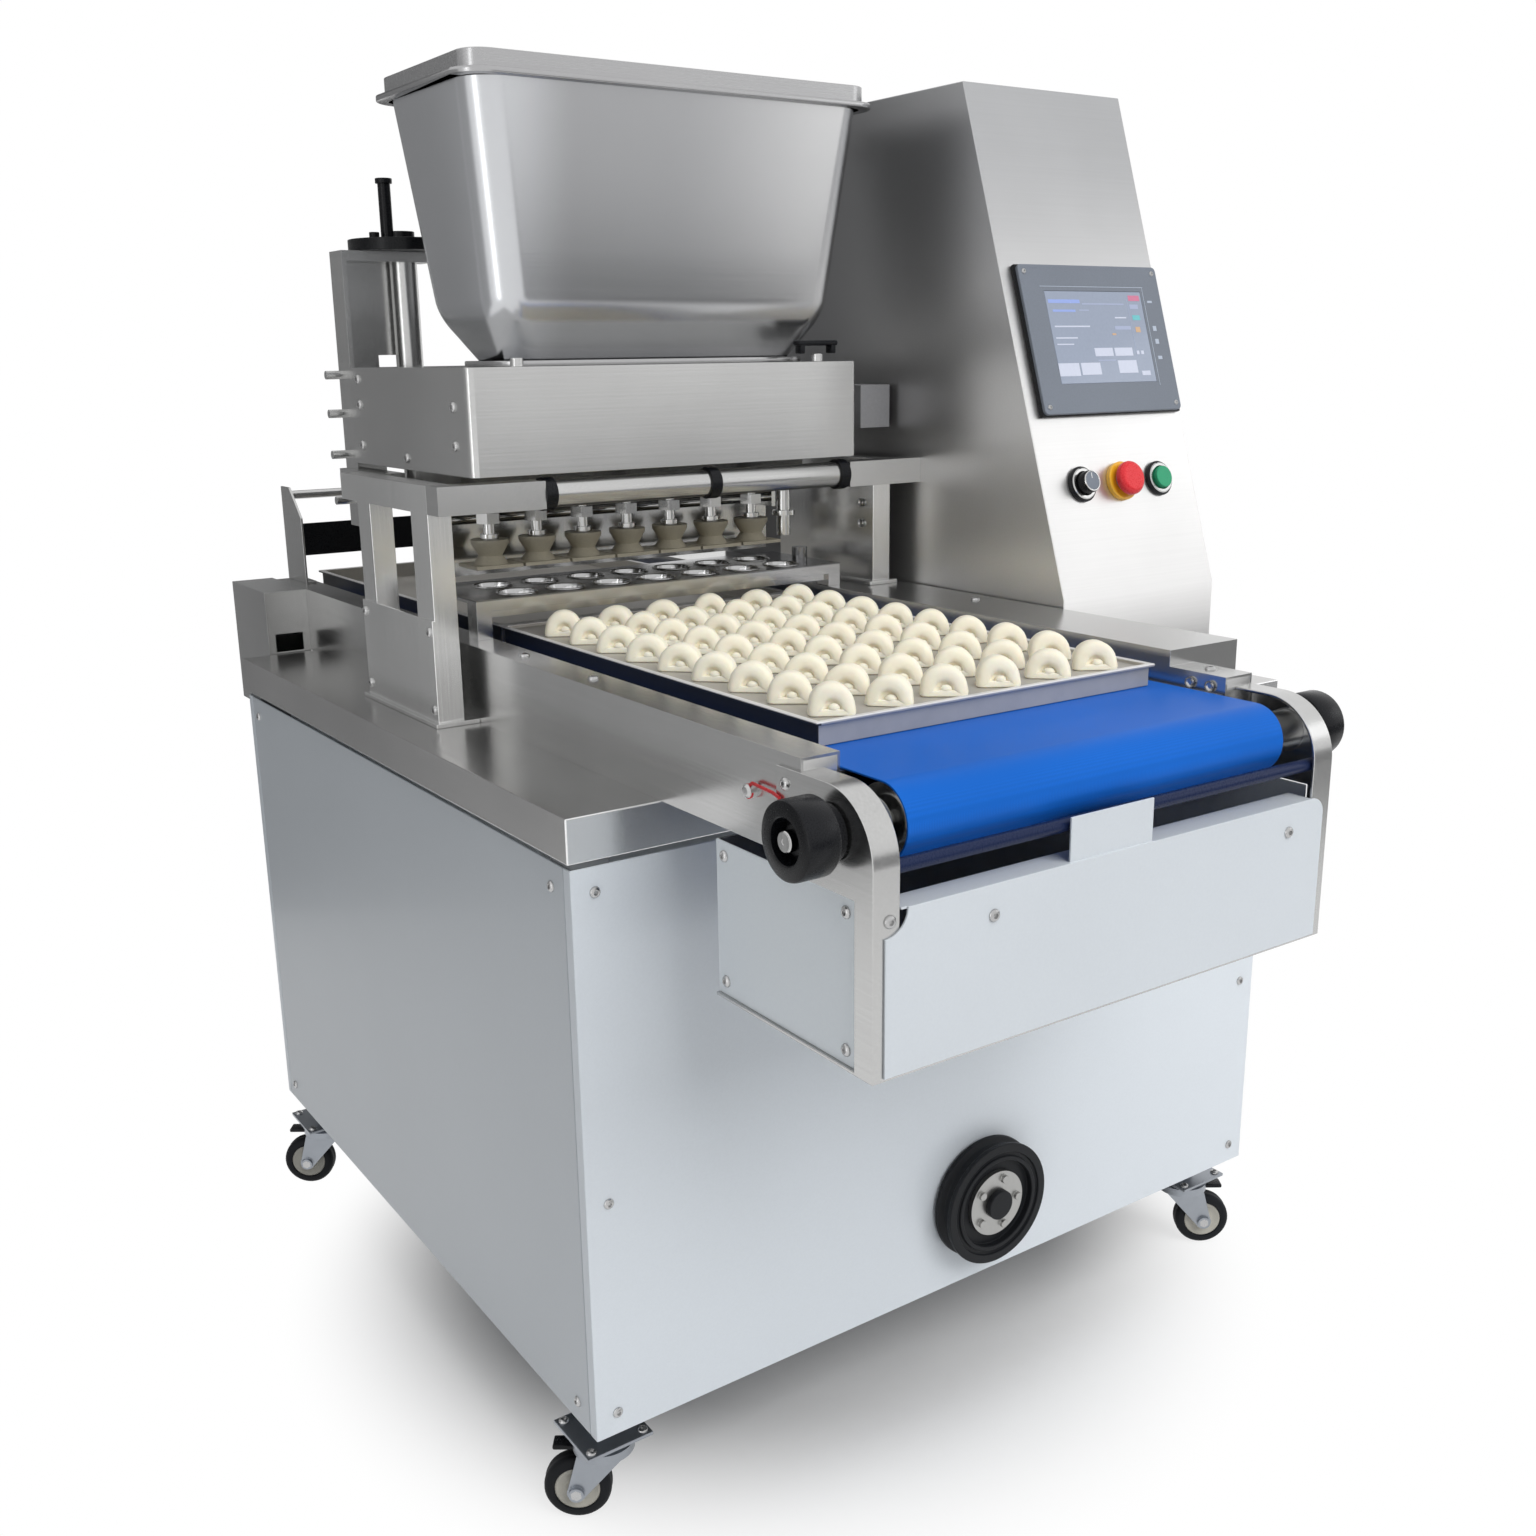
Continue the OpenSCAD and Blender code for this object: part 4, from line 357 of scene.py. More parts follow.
def finish_for(slot):
    """The material of a slot of the record"""
    c = bpy.context.scene.depositor_colours
    makers = {
        "white_enamel": lambda: enamelled("White enamel"),
        "frame_steel": lambda: moulded("Frame paint", c.frame, (0.45, 0.6), 300.0),
        "worktop_steel": lambda: steel("Worktop sheet", c.worktop, ALONG_Y, (0.16, 0.28), sweeps=(
            # painted highlight on the folded front edge
            (-AHEAD, WORKTOP_FRONT - 0.0025, WORKTOP_FRONT - 0.0005, c.worktop_front_highlight),
        )),
        "stainless": lambda: steel("Brushed sheet", c.sheet, ALONG_Y),
        "column_steel": lambda: steel(
            "Column sheet", c.column, ALONG_X, (0.28, 0.42), tone=(0.92, 1.06), sweeps=(
                # painted shade: darker towards the top, and darker on the left side
                (UP, 1.05, 1.42, c.column_top_painted_shade), (SIDE_SHADE_WAY, SIDE_SHADE_FROM, SIDE_SHADE_TO, c.column_side_painted_shade),
            )
        ),
        "hopper_steel": lambda: steel(
            "Hopper sheet", c.hopper_left_highlight, ALONG_X, (0.19, 0.27), **SATIN,
            # painted reflection: brighter left and right ends round the darker middle
            sweeps=((RIGHT, -0.33, -0.24, c.hopper), (RIGHT, -0.14, 0.13, c.hopper_right_highlight)),
        ),
        "polished_steel": lambda: steel("Polished steel", c.polished, ALONG_Z, (0.1, 0.22), 1.0),
        "screw_steel": lambda: steel("Screw steel", c.screw, (90.0, 90.0, 90.0), (0.22, 0.34), 1.0),
        "zinc_steel": lambda: steel("Zinc plate", c.zinc, (60.0, 60.0, 60.0), (0.24, 0.4), 0.9),
        "tyre_rubber": lambda: moulded("Tyre rubber", c.rubber, (0.5, 0.66), 900.0, (0.8, 1.3), shine=0.14),
        "black_rubber": lambda: moulded("Wheel rubber", c.rubber, (0.38, 0.5), 900.0, (0.8, 1.3), shine=0.16),
        "cast_hub": lambda: steel("Machined hub", c.hub, (120.0, 120.0, 120.0), (0.24, 0.4)),
        "black_plastic": lambda: moulded(
            "Black plastic", c.plastic, (0.22, 0.34), 800.0, (0.8, 1.3), shine=0.2
        ),
        "blue_belt": lambda: finish(
            "Blue belt", c.belt, weave(), {"Threads": 190.0}, (0.36, 0.5), 0.0, (0.9, 1.1), 0.12, 0.0002,
            shine=0.09
        ),
        "navy_tube": lambda: moulded("Navy sleeve", c.navy, (0.22, 0.34), 800.0, shine=0.16),
        "red_plastic": lambda: moulded("Red plastic", c.stop, (0.22, 0.34), 700.0, shine=0.4),
        "green_plastic": lambda: moulded("Green plastic", c.start, (0.24, 0.36), 700.0, shine=0.4),
        "bezel_metal": lambda: moulded("Yellow collar", c.collar, (0.25, 0.38), 700.0, coat=0.2),
        "tray_metal": lambda: steel("Tray sheet", c.tray, (60.0, 8.0, 60.0), (0.4, 0.56), 0.5, sweeps=(
            (-RIGHT, TRAY_LEFT - 0.0052, TRAY_LEFT - 0.0042, c.tray_shade),
            # painted highlight along the upper edge
            (UP, TRAY_TOP - 0.0016, TRAY_TOP - 0.0004, c.tray_rim_highlight),
        )),
        "dough": lambda: moulded(
            "Cookie dough", c.dough, (0.5, 0.68), 160.0, (0.93, 1.04), 0.25, depth=0.0012, soft=0.25
        ),
        "mould_metal": lambda: steel("Mould metal", c.mould, (6.0, 60.0, 60.0), (0.14, 0.26), 1.0, sweeps=(
            # painted shade: the plate's top is darker than its front
            (UP, MOULD_FOOT + 0.0418, MOULD_FOOT + 0.0436, c.mould_top_painted_shade),
        )),
        "cream_plastic": lambda: moulded("Cream plastic", c.cream, (0.38, 0.5), 500.0),
        "motor_metal": lambda: moulded("Cast metal", c.motor, (0.4, 0.55), 260.0),
        "slate_plastic": lambda: moulded("Slate bezel", c.slate, (0.36, 0.48), 600.0, shine=0.35),
        "screen_glass": lambda: moulded(
            "Lit screen", c.screen, (0.06, 0.1), 300.0, (0.94, 1.05), 0.01, lit=0.25
        ),
    }
    if slot not in makers:
        raise ValueError(f"no finish for the slot {slot}")
    return makers[slot]()


# Shapes
def put(bm, name, material):
    """Makes a bmesh an object of the scene"""
    mesh = bpy.data.meshes.new(name)
    bm.to_mesh(mesh)
    bm.free()
    mesh.materials.append(material)
    made = bpy.data.objects.new(name, mesh)
    bpy.context.scene.collection.objects.link(made)
    return made


def settle(bm, name, body, slot, replaced=(), material=None, angle=35.0, weighted=False):
    """Makes a bmesh a piece that rides a body"""
    piece = put(bm, name, material or finish_for(slot))
    mesh = piece.data
    if "custom_normal" in mesh.attributes:
        mesh.attributes.remove(mesh.attributes["custom_normal"])
    mesh.shade_smooth()
    mesh.set_sharp_from_angle(angle=math.radians(angle))
    if weighted:
        even = piece.modifiers.new("Even normals", "WEIGHTED_NORMAL")
        even.keep_sharp = True
    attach(piece, body)
    if replaced:
        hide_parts(*replaced)
    return piece


def loose_parts(bm):
    """The connected parts of a bmesh as lists of vertices"""
    left = set(bm.verts)
    parts = []
    while left:
        front = [left.pop()]
        part = list(front)
        while front:
            vert = front.pop()
            for edge in vert.link_edges:
                other = edge.other_vert(vert)
                if other in left:
                    left.discard(other)
                    part.append(other)
                    front.append(other)
        parts.append(part)
    return parts


MERGE_WITHIN = 0.00002
FLAT_WITHIN = math.radians(0.8)
SHARP_FROM = math.radians(30.0)


def merged_copy(node):
    """A merged copy of a node's mesh with its flat faces whole again"""
    bm = bmesh.new()
    bm.from_mesh(nodes[node].data)
    bmesh.ops.remove_doubles(bm, verts=bm.verts, dist=MERGE_WITHIN)
    bmesh.ops.dissolve_limit(
        bm, angle_limit=FLAT_WITHIN, use_dissolve_boundaries=False, verts=bm.verts, edges=bm.edges
    )
    return bm


def bevelled(bm, edges, rounding, segments, **options):
    """Rounds edges"""
    bmesh.ops.bevel(
        bm, geom=list(edges), offset=rounding, offset_type="OFFSET", segments=segments, profile=0.5,
        affect="EDGES", clamp_overlap=True, material=-1, **options,
    )


def soften(node, slot, rounding=None, segments=2, material=None):
    """A piece in place of a node: its shape with rounded edges, by default those of a machined piece"""
    if rounding is None:
        rounding = bpy.context.scene.depositor_sizes.small_round
    bm = merged_copy(node)
    for part in loose_parts(bm):
        edges = {
            e for v in part for e in v.link_edges
            if len(e.link_faces) == 2 and e.calc_face_angle(0.0) > SHARP_FROM
        }
        if edges and rounding:
            bevelled(bm, edges, rounding, segments, loop_slide=True)
    settle(bm, f"{node}_dressed", body_of_node[node], slot, (node,), material, angle=50.0, weighted=True)


def facing(direction, at):
    """The placing that turns +Z to a direction and moves to a point"""
    turn = UP.rotation_difference(Vector(direction)).to_matrix().to_4x4()
    return Matrix.Translation(Vector(at)) @ turn


def on_panel(x, up):
    """The placing that far up the column's sloping front: X to the right, Y up the slope, Z outwards"""
    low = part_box("control_column")[0]
    at = Vector((x, low.y, low.z + SLOPE_FOOT)) + SLOPE_UP * up
    return Matrix.Translation(at) @ Matrix((RIGHT, SLOPE_UP, SLOPE)).transposed().to_4x4()


def turned(bm, profile, placing, steps=None):
    """A turned shape: a profile of (radius, height) spun about Z, then placed"""
    steps = steps or bpy.context.scene.depositor_sizes.turn_steps
    before = set(bm.verts)
    line = [bm.verts.new((radius, 0.0, height)) for radius, height in profile]
    edges = [bm.edges.new(pair) for pair in zip(line, line[1:])]
    bmesh.ops.spin(
        bm, geom=line + edges, cent=(0, 0, 0), axis=(0, 0, 1), dvec=(0, 0, 0), angle=math.tau, steps=steps,
        use_merge=True, use_normal_flip=False, use_duplicate=False,
    )
    made = [v for v in bm.verts if v not in before]
    bmesh.ops.remove_doubles(bm, verts=made, dist=0.000005)
    made = [v for v in bm.verts if v not in before]
    faces = list({f for v in made for f in v.link_faces})
    bmesh.ops.recalc_face_normals(bm, faces=faces)
    bmesh.ops.transform(bm, matrix=placing, verts=made)
    return made


def slab(bm, low, high, rounding=0.0, segments=2, placing=None):
    """A block between two corners with rounded edges"""
    before = set(bm.verts)
    low, high = Vector(low), Vector(high)
    shape = Matrix.Translation((low + high) / 2) @ Matrix.Diagonal((*(high - low), 1.0))
    made = bmesh.ops.create_cube(bm, size=1.0, matrix=shape)["verts"]
    if rounding:
        bevelled(bm, {e for v in made for e in v.link_edges}, rounding, segments)
    made = [v for v in bm.verts if v not in before]
    if placing:
        bmesh.ops.transform(bm, matrix=placing, verts=made)
    return made


def rounded_ring(bm, middle, wide, deep, corner, height, segments=64):
    """A level ring of vertices round a rectangle with round corners"""
    ring = bmesh.ops.create_circle(bm, cap_ends=False, segments=segments, radius=1.0)["verts"]
    for vert in ring:
        angle = math.atan2(vert.co.y, vert.co.x) + math.pi / segments
        across, ahead = math.cos(angle), math.sin(angle)
        vert.co = Vector((
            middle[0] + math.copysign(wide / 2 - corner, across) + corner * across,
            middle[1] + math.copysign(deep / 2 - corner, ahead) + corner * ahead, height,
        ))
    return ring


def ring_edges(ring):
    """The edges that join the vertices of a ring"""
    inside = set(ring)
    return [e for e in {e for v in ring for e in v.link_edges} if set(e.verts) <= inside]


def lofted(bm, rings, closed=False):
    """Bridges rings in turn, and the last to the first where the section is closed"""
    pairs = list(zip(rings, rings[1:])) + ([(rings[-1], rings[0])] if closed else [])
    for near, far in [(ring_edges(a), ring_edges(b)) for a, b in pairs]:
        bmesh.ops.bridge_loops(bm, edges=near + far)
    bmesh.ops.recalc_face_normals(bm, faces=bm.faces)


def mirrored(half):
    """A closed profile from the half below its middle"""
    return (*half, *((radius, -height) for radius, height in reversed(half)), half[0])


# Profile of a button head with a socket, as shares of its radius
SCREW_PROFILE = (
    (1.0, 0.0), (1.0, 0.14), (0.9, 0.34), (0.7, 0.48), (0.5, 0.54), (0.44, 0.5), (0.44, 0.22), (0.0, 0.22),
)
SOCKET_SHARE = 0.46


def screw_head(bm, at, direction, radius):
    """A button head with a hexagon socket"""
    profile = [(radius * across, radius * up) for across, up in SCREW_PROFILE]
    made = turned(bm, profile, Matrix.Identity(4), 12)
    for vert in made:
        flat = math.hypot(vert.co.x, vert.co.y)
        angle = math.degrees(math.atan2(vert.co.y, vert.co.x)) % 60.0
        if 0.0 < flat < radius * SOCKET_SHARE and abs(angle - 30.0) < 5.0:
            vert.co.x *= math.cos(math.pi / 6)
            vert.co.y *= math.cos(math.pi / 6)
    bmesh.ops.transform(bm, matrix=facing(direction, at), verts=made)


def paint(node, slot):
    """Gives a node that stays as it is its finish"""
    mesh = nodes[node].data
    mesh.materials.clear()
    mesh.materials.append(finish_for(slot))


class DepositorOperator:
    """What the operators share"""

    bl_options = {"REGISTER", "UNDO"}


class DEPOSITOR_OT_cabinet(DepositorOperator, bpy.types.Operator):
    """Panels, worktop, frame and cable gland"""

    bl_idname = "depositor.cabinet"
    bl_label = "Cabinet"

    def execute(self, context):
        s = context.scene.depositor_sizes
        for node in ("front_panel", "rear_panel", "right_panel"):
            soften(node, "white_enamel", s.cover_round, 3)
        # The left panel's enamel is darker: painted shade
        soften("left_panel", "white_enamel", s.cover_round, 3, material=enamelled("Left enamel painted shade", 0.8))
        soften("worktop", "worktop_steel", s.fold_round, 4)
        soften("base_frame", "frame_steel", s.fold_round)
        soften("cable_gland", "black_plastic")
        return {"FINISHED"}


# Widest head that is taken for a screw, in radii of a screw head
WIDEST_HEAD = 3.5


class DEPOSITOR_OT_screws(DepositorOperator, bpy.types.Operator):
    """Socket screws on the cabinet, the covers and the head"""

    bl_idname = "depositor.screws"
    bl_label = "Screws"

    def execute(self, context):
        limit = WIDEST_HEAD * context.scene.depositor_sizes.screw_round
        for node in ("case_screws", "head_screws"):
            found = merged_copy(node)
            heads = bmesh.new()
            for part in loose_parts(found):
                low = Vector([min(v.co[i] for v in part) for i in range(3)])
                high = Vector([max(v.co[i] for v in part) for i in range(3)])
                spans = high - low
                thin = min(range(3), key=lambda i: spans[i])
                middle = (low + high) / 2
                outward = Vector((0.0, 0.0, 0.0))
                outward[thin] = 1.0 if thin == 2 or middle[thin] > 0 else -1.0
                if max(spans) > limit:
                    raise ValueError(f"{node} holds a part that is no screw head")
                foot = middle - outward * spans[thin] / 2
                wide = sorted(spans)[1] / 2
                if spans[thin] > 1.1 * wide:
                    turned(heads, (
                        (wide, 0.0), (wide, spans[thin] - wide * 0.5), (wide * 0.7, spans[thin] - wide * 0.1),
                        (0.0, spans[thin]),
                    ), facing(outward, foot), 16)
                else:
                    screw_head(heads, foot, outward, wide)
            found.free()
            settle(heads, f"{node}_heads", body_of_node[node], "screw_steel", (node,))
        return {"FINISHED"}


CASTER_PINS = {
    "fl": (-0.437, -0.3195), "fr": (0.437, -0.3195), "rl": (-0.437, 0.5075), "rr": (0.437, 0.5075),
}
LEFT_AXLE = Vector((0.5736, 0.8192, 0.0))
# The plates' upper face above the foot of their races, and the brake tabs' foot below that face
PLATE_TOP, BRAKE_DROP = 0.0121, 0.0225
PLATE_BOLT_OFFS = (-0.0295, 0.0295)
PLATE_BOLT_RADIUS = 0.0055
BRAKE_LOW, BRAKE_HIGH = (0.026, -0.009, 0.0), (0.052, 0.009, 0.005)
# Profiles as (radius, place along the axle)
AXLE_NUT = ((0.0, 0.0), (0.0068, 0.0), (0.0068, 0.00336), (0.005984, 0.0042), (0.0, 0.0042))
AXLE_NUT_OFF = 0.0174
TYRE = mirrored((
    (0.0235, -0.0105), (0.0245, -0.0119), (0.0295, -0.0119), (0.0325, -0.0105), (0.0345, -0.0075),
    (0.035, -0.004), (0.0344, -0.002),
))
CASTER_RIM = mirrored((
    (0.0052, -0.0119), (0.0075, -0.0119), (0.0088, -0.0112), (0.011, -0.0112), (0.0122, -0.0092),
    (0.0165, -0.0088), (0.0195, -0.0102), (0.0222, -0.011), (0.0234, -0.0104),
))


class DEPOSITOR_OT_casters(DepositorOperator, bpy.types.Operator):
    """Plates, forks, axle nuts, brake tabs, tyres and rims of the four casters"""

    bl_idname = "depositor.casters"
    bl_label = "Casters"

    def execute(self, context):
        s = context.scene.depositor_sizes
        rim = moulded("Caster rim", context.scene.depositor_colours.rim, (0.36, 0.5), 500.0)
        soften("caster_plates", "zinc_steel")
        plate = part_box("caster_plates")[0].z + PLATE_TOP
        bolts = bmesh.new()
        for corner, pin in CASTER_PINS.items():
            wheel = f"caster_wheel_{corner}"
            soften(f"caster_fork_{corner}", "zinc_steel", s.small_round * 1.5, 3)
            low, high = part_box(wheel)
            middle = (low + high) / 2
            along = LEFT_AXLE if pin[0] < 0.0 else -LEFT_AXLE
            for x in PLATE_BOLT_OFFS:
                for y in PLATE_BOLT_OFFS:
                    screw_head(bolts, (pin[0] + x, pin[1] + y, plate), UP, PLATE_BOLT_RADIUS)
            nuts, brake, tyre, disc = (bmesh.new() for _ in range(4))
            for way in (-along, along):
                turned(nuts, AXLE_NUT, facing(way, middle + way * AXLE_NUT_OFF), 6)
            settle(nuts, f"axle_bolts_{corner}", f"fork_{corner}", "screw_steel", angle=25.0)
            trail = (middle - Vector((*pin, 0.0))).to_2d().normalized()
            turn = Matrix.Rotation(math.atan2(trail.y, trail.x), 4, "Z")
            over_wheel = Matrix.Translation((*pin, plate - BRAKE_DROP)) @ turn
            slab(brake, BRAKE_LOW, BRAKE_HIGH, 0.0018, 3, over_wheel)
            settle(brake, f"brake_tab_{corner}", f"fork_{corner}", "black_plastic")
            turned(tyre, TYRE, facing(along, middle))
            settle(tyre, f"tyre_{corner}", f"wheel_{corner}", "tyre_rubber", (wheel,))
            turned(disc, CASTER_RIM, facing(along, middle))
            settle(disc, f"rim_{corner}", f"wheel_{corner}", "cast_hub", (wheel,), rim)
        settle(bolts, "caster_bolts", "chassis", "screw_steel")
        return {"FINISHED"}


class DEPOSITOR_OT_pulley(DepositorOperator, bpy.types.Operator):
    """Black grooved wheel with its hub on the cabinet's front"""

    bl_idname = "depositor.pulley"
    bl_label = "Grooved wheel"

    def execute(self, context):
        s = context.scene.depositor_sizes
        soften("pulley_wheel", "black_rubber", s.small_round * 1.5, 3)
        soften("pulley_hub", "cast_hub")
        return {"FINISHED"}


# Plates in the rails' ends: across and up from the rail's low corner, and along the rail
RAIL_CAP_X, RAIL_CAP_Z = (0.002, 0.036), (0.002, 0.082)
RAIL_CAP_THICK, RAIL_CAP_IN = 0.0018, 0.0002
LEVER_EYE_RADIUS = 0.0065
LEVER_EYE = (
    (0.003, 0.0), (0.0056, 0.0), (0.0064, 0.0006), (0.0064, 0.0024), (0.0056, 0.003), (0.003, 0.003),
    (0.003, 0.0),
)


class DEPOSITOR_OT_conveyor(DepositorOperator, bpy.types.Operator):
    """Rails, bed, belt, rollers, red lever, nose frame, covers and the parts round the infeed"""

    bl_idname = "depositor.conveyor"
    bl_label = "Conveyor"

    def execute(self, context):
        s = context.scene.depositor_sizes
        rails = ("left_rail", "right_rail")
        for node in rails:
            soften(node, "stainless", s.fold_round, 4)
        soften("nose_frame", "stainless")
        # The front cover's enamel is darker as painted shade, the side covers' lighter as painted light
        for node, label, by in (("front_cover", "Front enamel painted shade", 0.84), ("side_covers", "Side enamel painted light", 1.2)):
            soften(node, "white_enamel", s.cover_round, 3, enamelled(label, by))
        soften("conveyor_belt", "blue_belt")
        soften("scraper_bar", "navy_tube")
        self.lever()
        caps = bmesh.new()
        for node in rails:
            low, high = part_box(node)
            for y in (low.y + RAIL_CAP_IN, high.y - RAIL_CAP_IN - RAIL_CAP_THICK):
                corners = [
                    (low.x + x, end, low.z + z)
                    for x, end, z in zip(RAIL_CAP_X, (y, y + RAIL_CAP_THICK), RAIL_CAP_Z)
                ]
                slab(caps, *corners, 0.0004)
        settle(caps, "rail_caps", "chassis", "stainless")
        soften("infeed_guard", "stainless")
        soften("guard_panel", "black_plastic")
        soften("rear_box", "stainless", s.fold_round)
        paint("slider_bed", "stainless")
        for node in ("drive_roller", "tail_roller"):
            paint(node, "polished_steel")
        return {"FINISHED"}

    def lever(self):
        """The red lever as a bent rod on its eye"""
        low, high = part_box("release_lever")
        thick = (high.x - low.x) / 2
        eye = Vector((low.x, high.y - LEVER_EYE_RADIUS, low.z + LEVER_EYE_RADIUS))
        path = [Vector((low.x + thick, y, z)) for y, z in (
            (eye.y, eye.z), (eye.y - 0.002, high.z - 0.004), (eye.y - 0.006, high.z - thick),
            (low.y + 0.012, high.z - 0.003), (low.y + 0.003, high.z - 0.005), (low.y + thick, high.z - 0.011),
        )]
        rod = bmesh.new()
        for start, end in zip(path, path[1:]):
            length = (end - start).length + thick * 0.5
            turned(rod, (
                (0.0, -thick * 0.5), (thick * 0.8, -thick * 0.3), (thick, 0.0), (thick, length - thick * 0.5),
                (0.0, length),
            ), facing(end - start, start), 12)
        turned(rod, LEVER_EYE, facing(RIGHT, eye), 24)
        settle(rod, "lever_rod", "belt_lever", "red_plastic", ("release_lever",))


# Profiles of a knob and its bolt as (radius, place along the shaft)
KNOB_LENGTH = 0.042
KNOB_SHELL = (
    (0.0085, 0.0), (0.023, 0.0), (0.023, 0.01), (0.028, 0.01), (0.0305, 0.0112), (0.032, 0.014),
    (0.032, 0.0385), (0.0312, 0.0408), (0.029, KNOB_LENGTH), (0.0195, KNOB_LENGTH), (0.0185, 0.0412),
    (0.0172, 0.028), (0.0118, 0.028), (0.0118, 0.033), (0.0085, 0.033), (0.0085, 0.0),
)
KNOB_BOLT = (
    (0.0086, 0.03), (0.0086, 0.041), (0.0076, 0.0424), (0.0024, 0.0424), (0.0015, 0.0412), (0.0, 0.0412),
)


class DEPOSITOR_OT_knobs(DepositorOperator, bpy.types.Operator):
    """Black knobs at the ends of the drive roller"""

    bl_idname = "depositor.knobs"
    bl_label = "Drive knobs"

    def execute(self, context):
        low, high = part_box("drive_knobs")
        middle = (low + high) / 2
        knobs, bolts = bmesh.new(), bmesh.new()
        for way, x in ((-RIGHT, low.x + KNOB_LENGTH), (RIGHT, high.x - KNOB_LENGTH)):
            placing = facing(way, (x, middle.y, middle.z))
            turned(knobs, KNOB_SHELL, placing)
            turned(bolts, KNOB_BOLT, placing)
        settle(knobs, "knob_shells", "drive_shaft", "black_plastic", ("drive_knobs",))
        settle(bolts, "knob_bolts", "drive_shaft", "polished_steel")
        return {"FINISHED"}


class DEPOSITOR_OT_trays(DepositorOperator, bpy.types.Operator):
    """Filled tray and infeed tray"""

    bl_idname = "depositor.trays"
    bl_label = "Trays"

    def execute(self, context):
        soften("baking_tray", "tray_metal")
        soften("infeed_tray", "tray_metal")
        return {"FINISHED"}


DOUGH_COLUMNS, DOUGH_ROWS = 6, 9
DOUGH_PITCH = (0.064, 0.0615)
# How far a roll strays in place, size and turn, and its mean share of the given height
DOUGH_STRAY, DOUGH_GROWTH, DOUGH_SWING, DOUGH_LOWER = 0.0015, 0.03, 0.14, 0.97
# Rings of a roll from its mouth to its tail: place in half lengths, shares of the width and height
ROLL_RINGS = (
    (-1.0, 0.74, 0.76), (-0.9, 0.93, 0.92), (-0.6, 1.02, 1.0), (-0.4, 0.95, 0.95), (-0.24, 0.96, 0.98),
    (0.15, 0.94, 0.94), (0.5, 0.84, 0.82), (0.85, 0.64, 0.6), (1.0, 0.34, 0.3),
)
# A ring is cut level below its middle, and spread there as far back as the given place
ROLL_CUT, ROLL_SPREAD, SPREAD_TO, ROLL_LEAN = -0.35, 1.16, -0.4, 0.0035
ROLL_LIP = 0.0066
# Steps of the hollow as (depth, share of the step before), and how much lower each lies
HOLLOW_STEPS, HOLLOW_DROP = ((0.003, 0.92), (0.003, 0.72)), 0.0008
CORE_SIZE, CORE_AT = (0.0074, 0.005, 0.0056), (0.001, 0.0042, 0.0064)


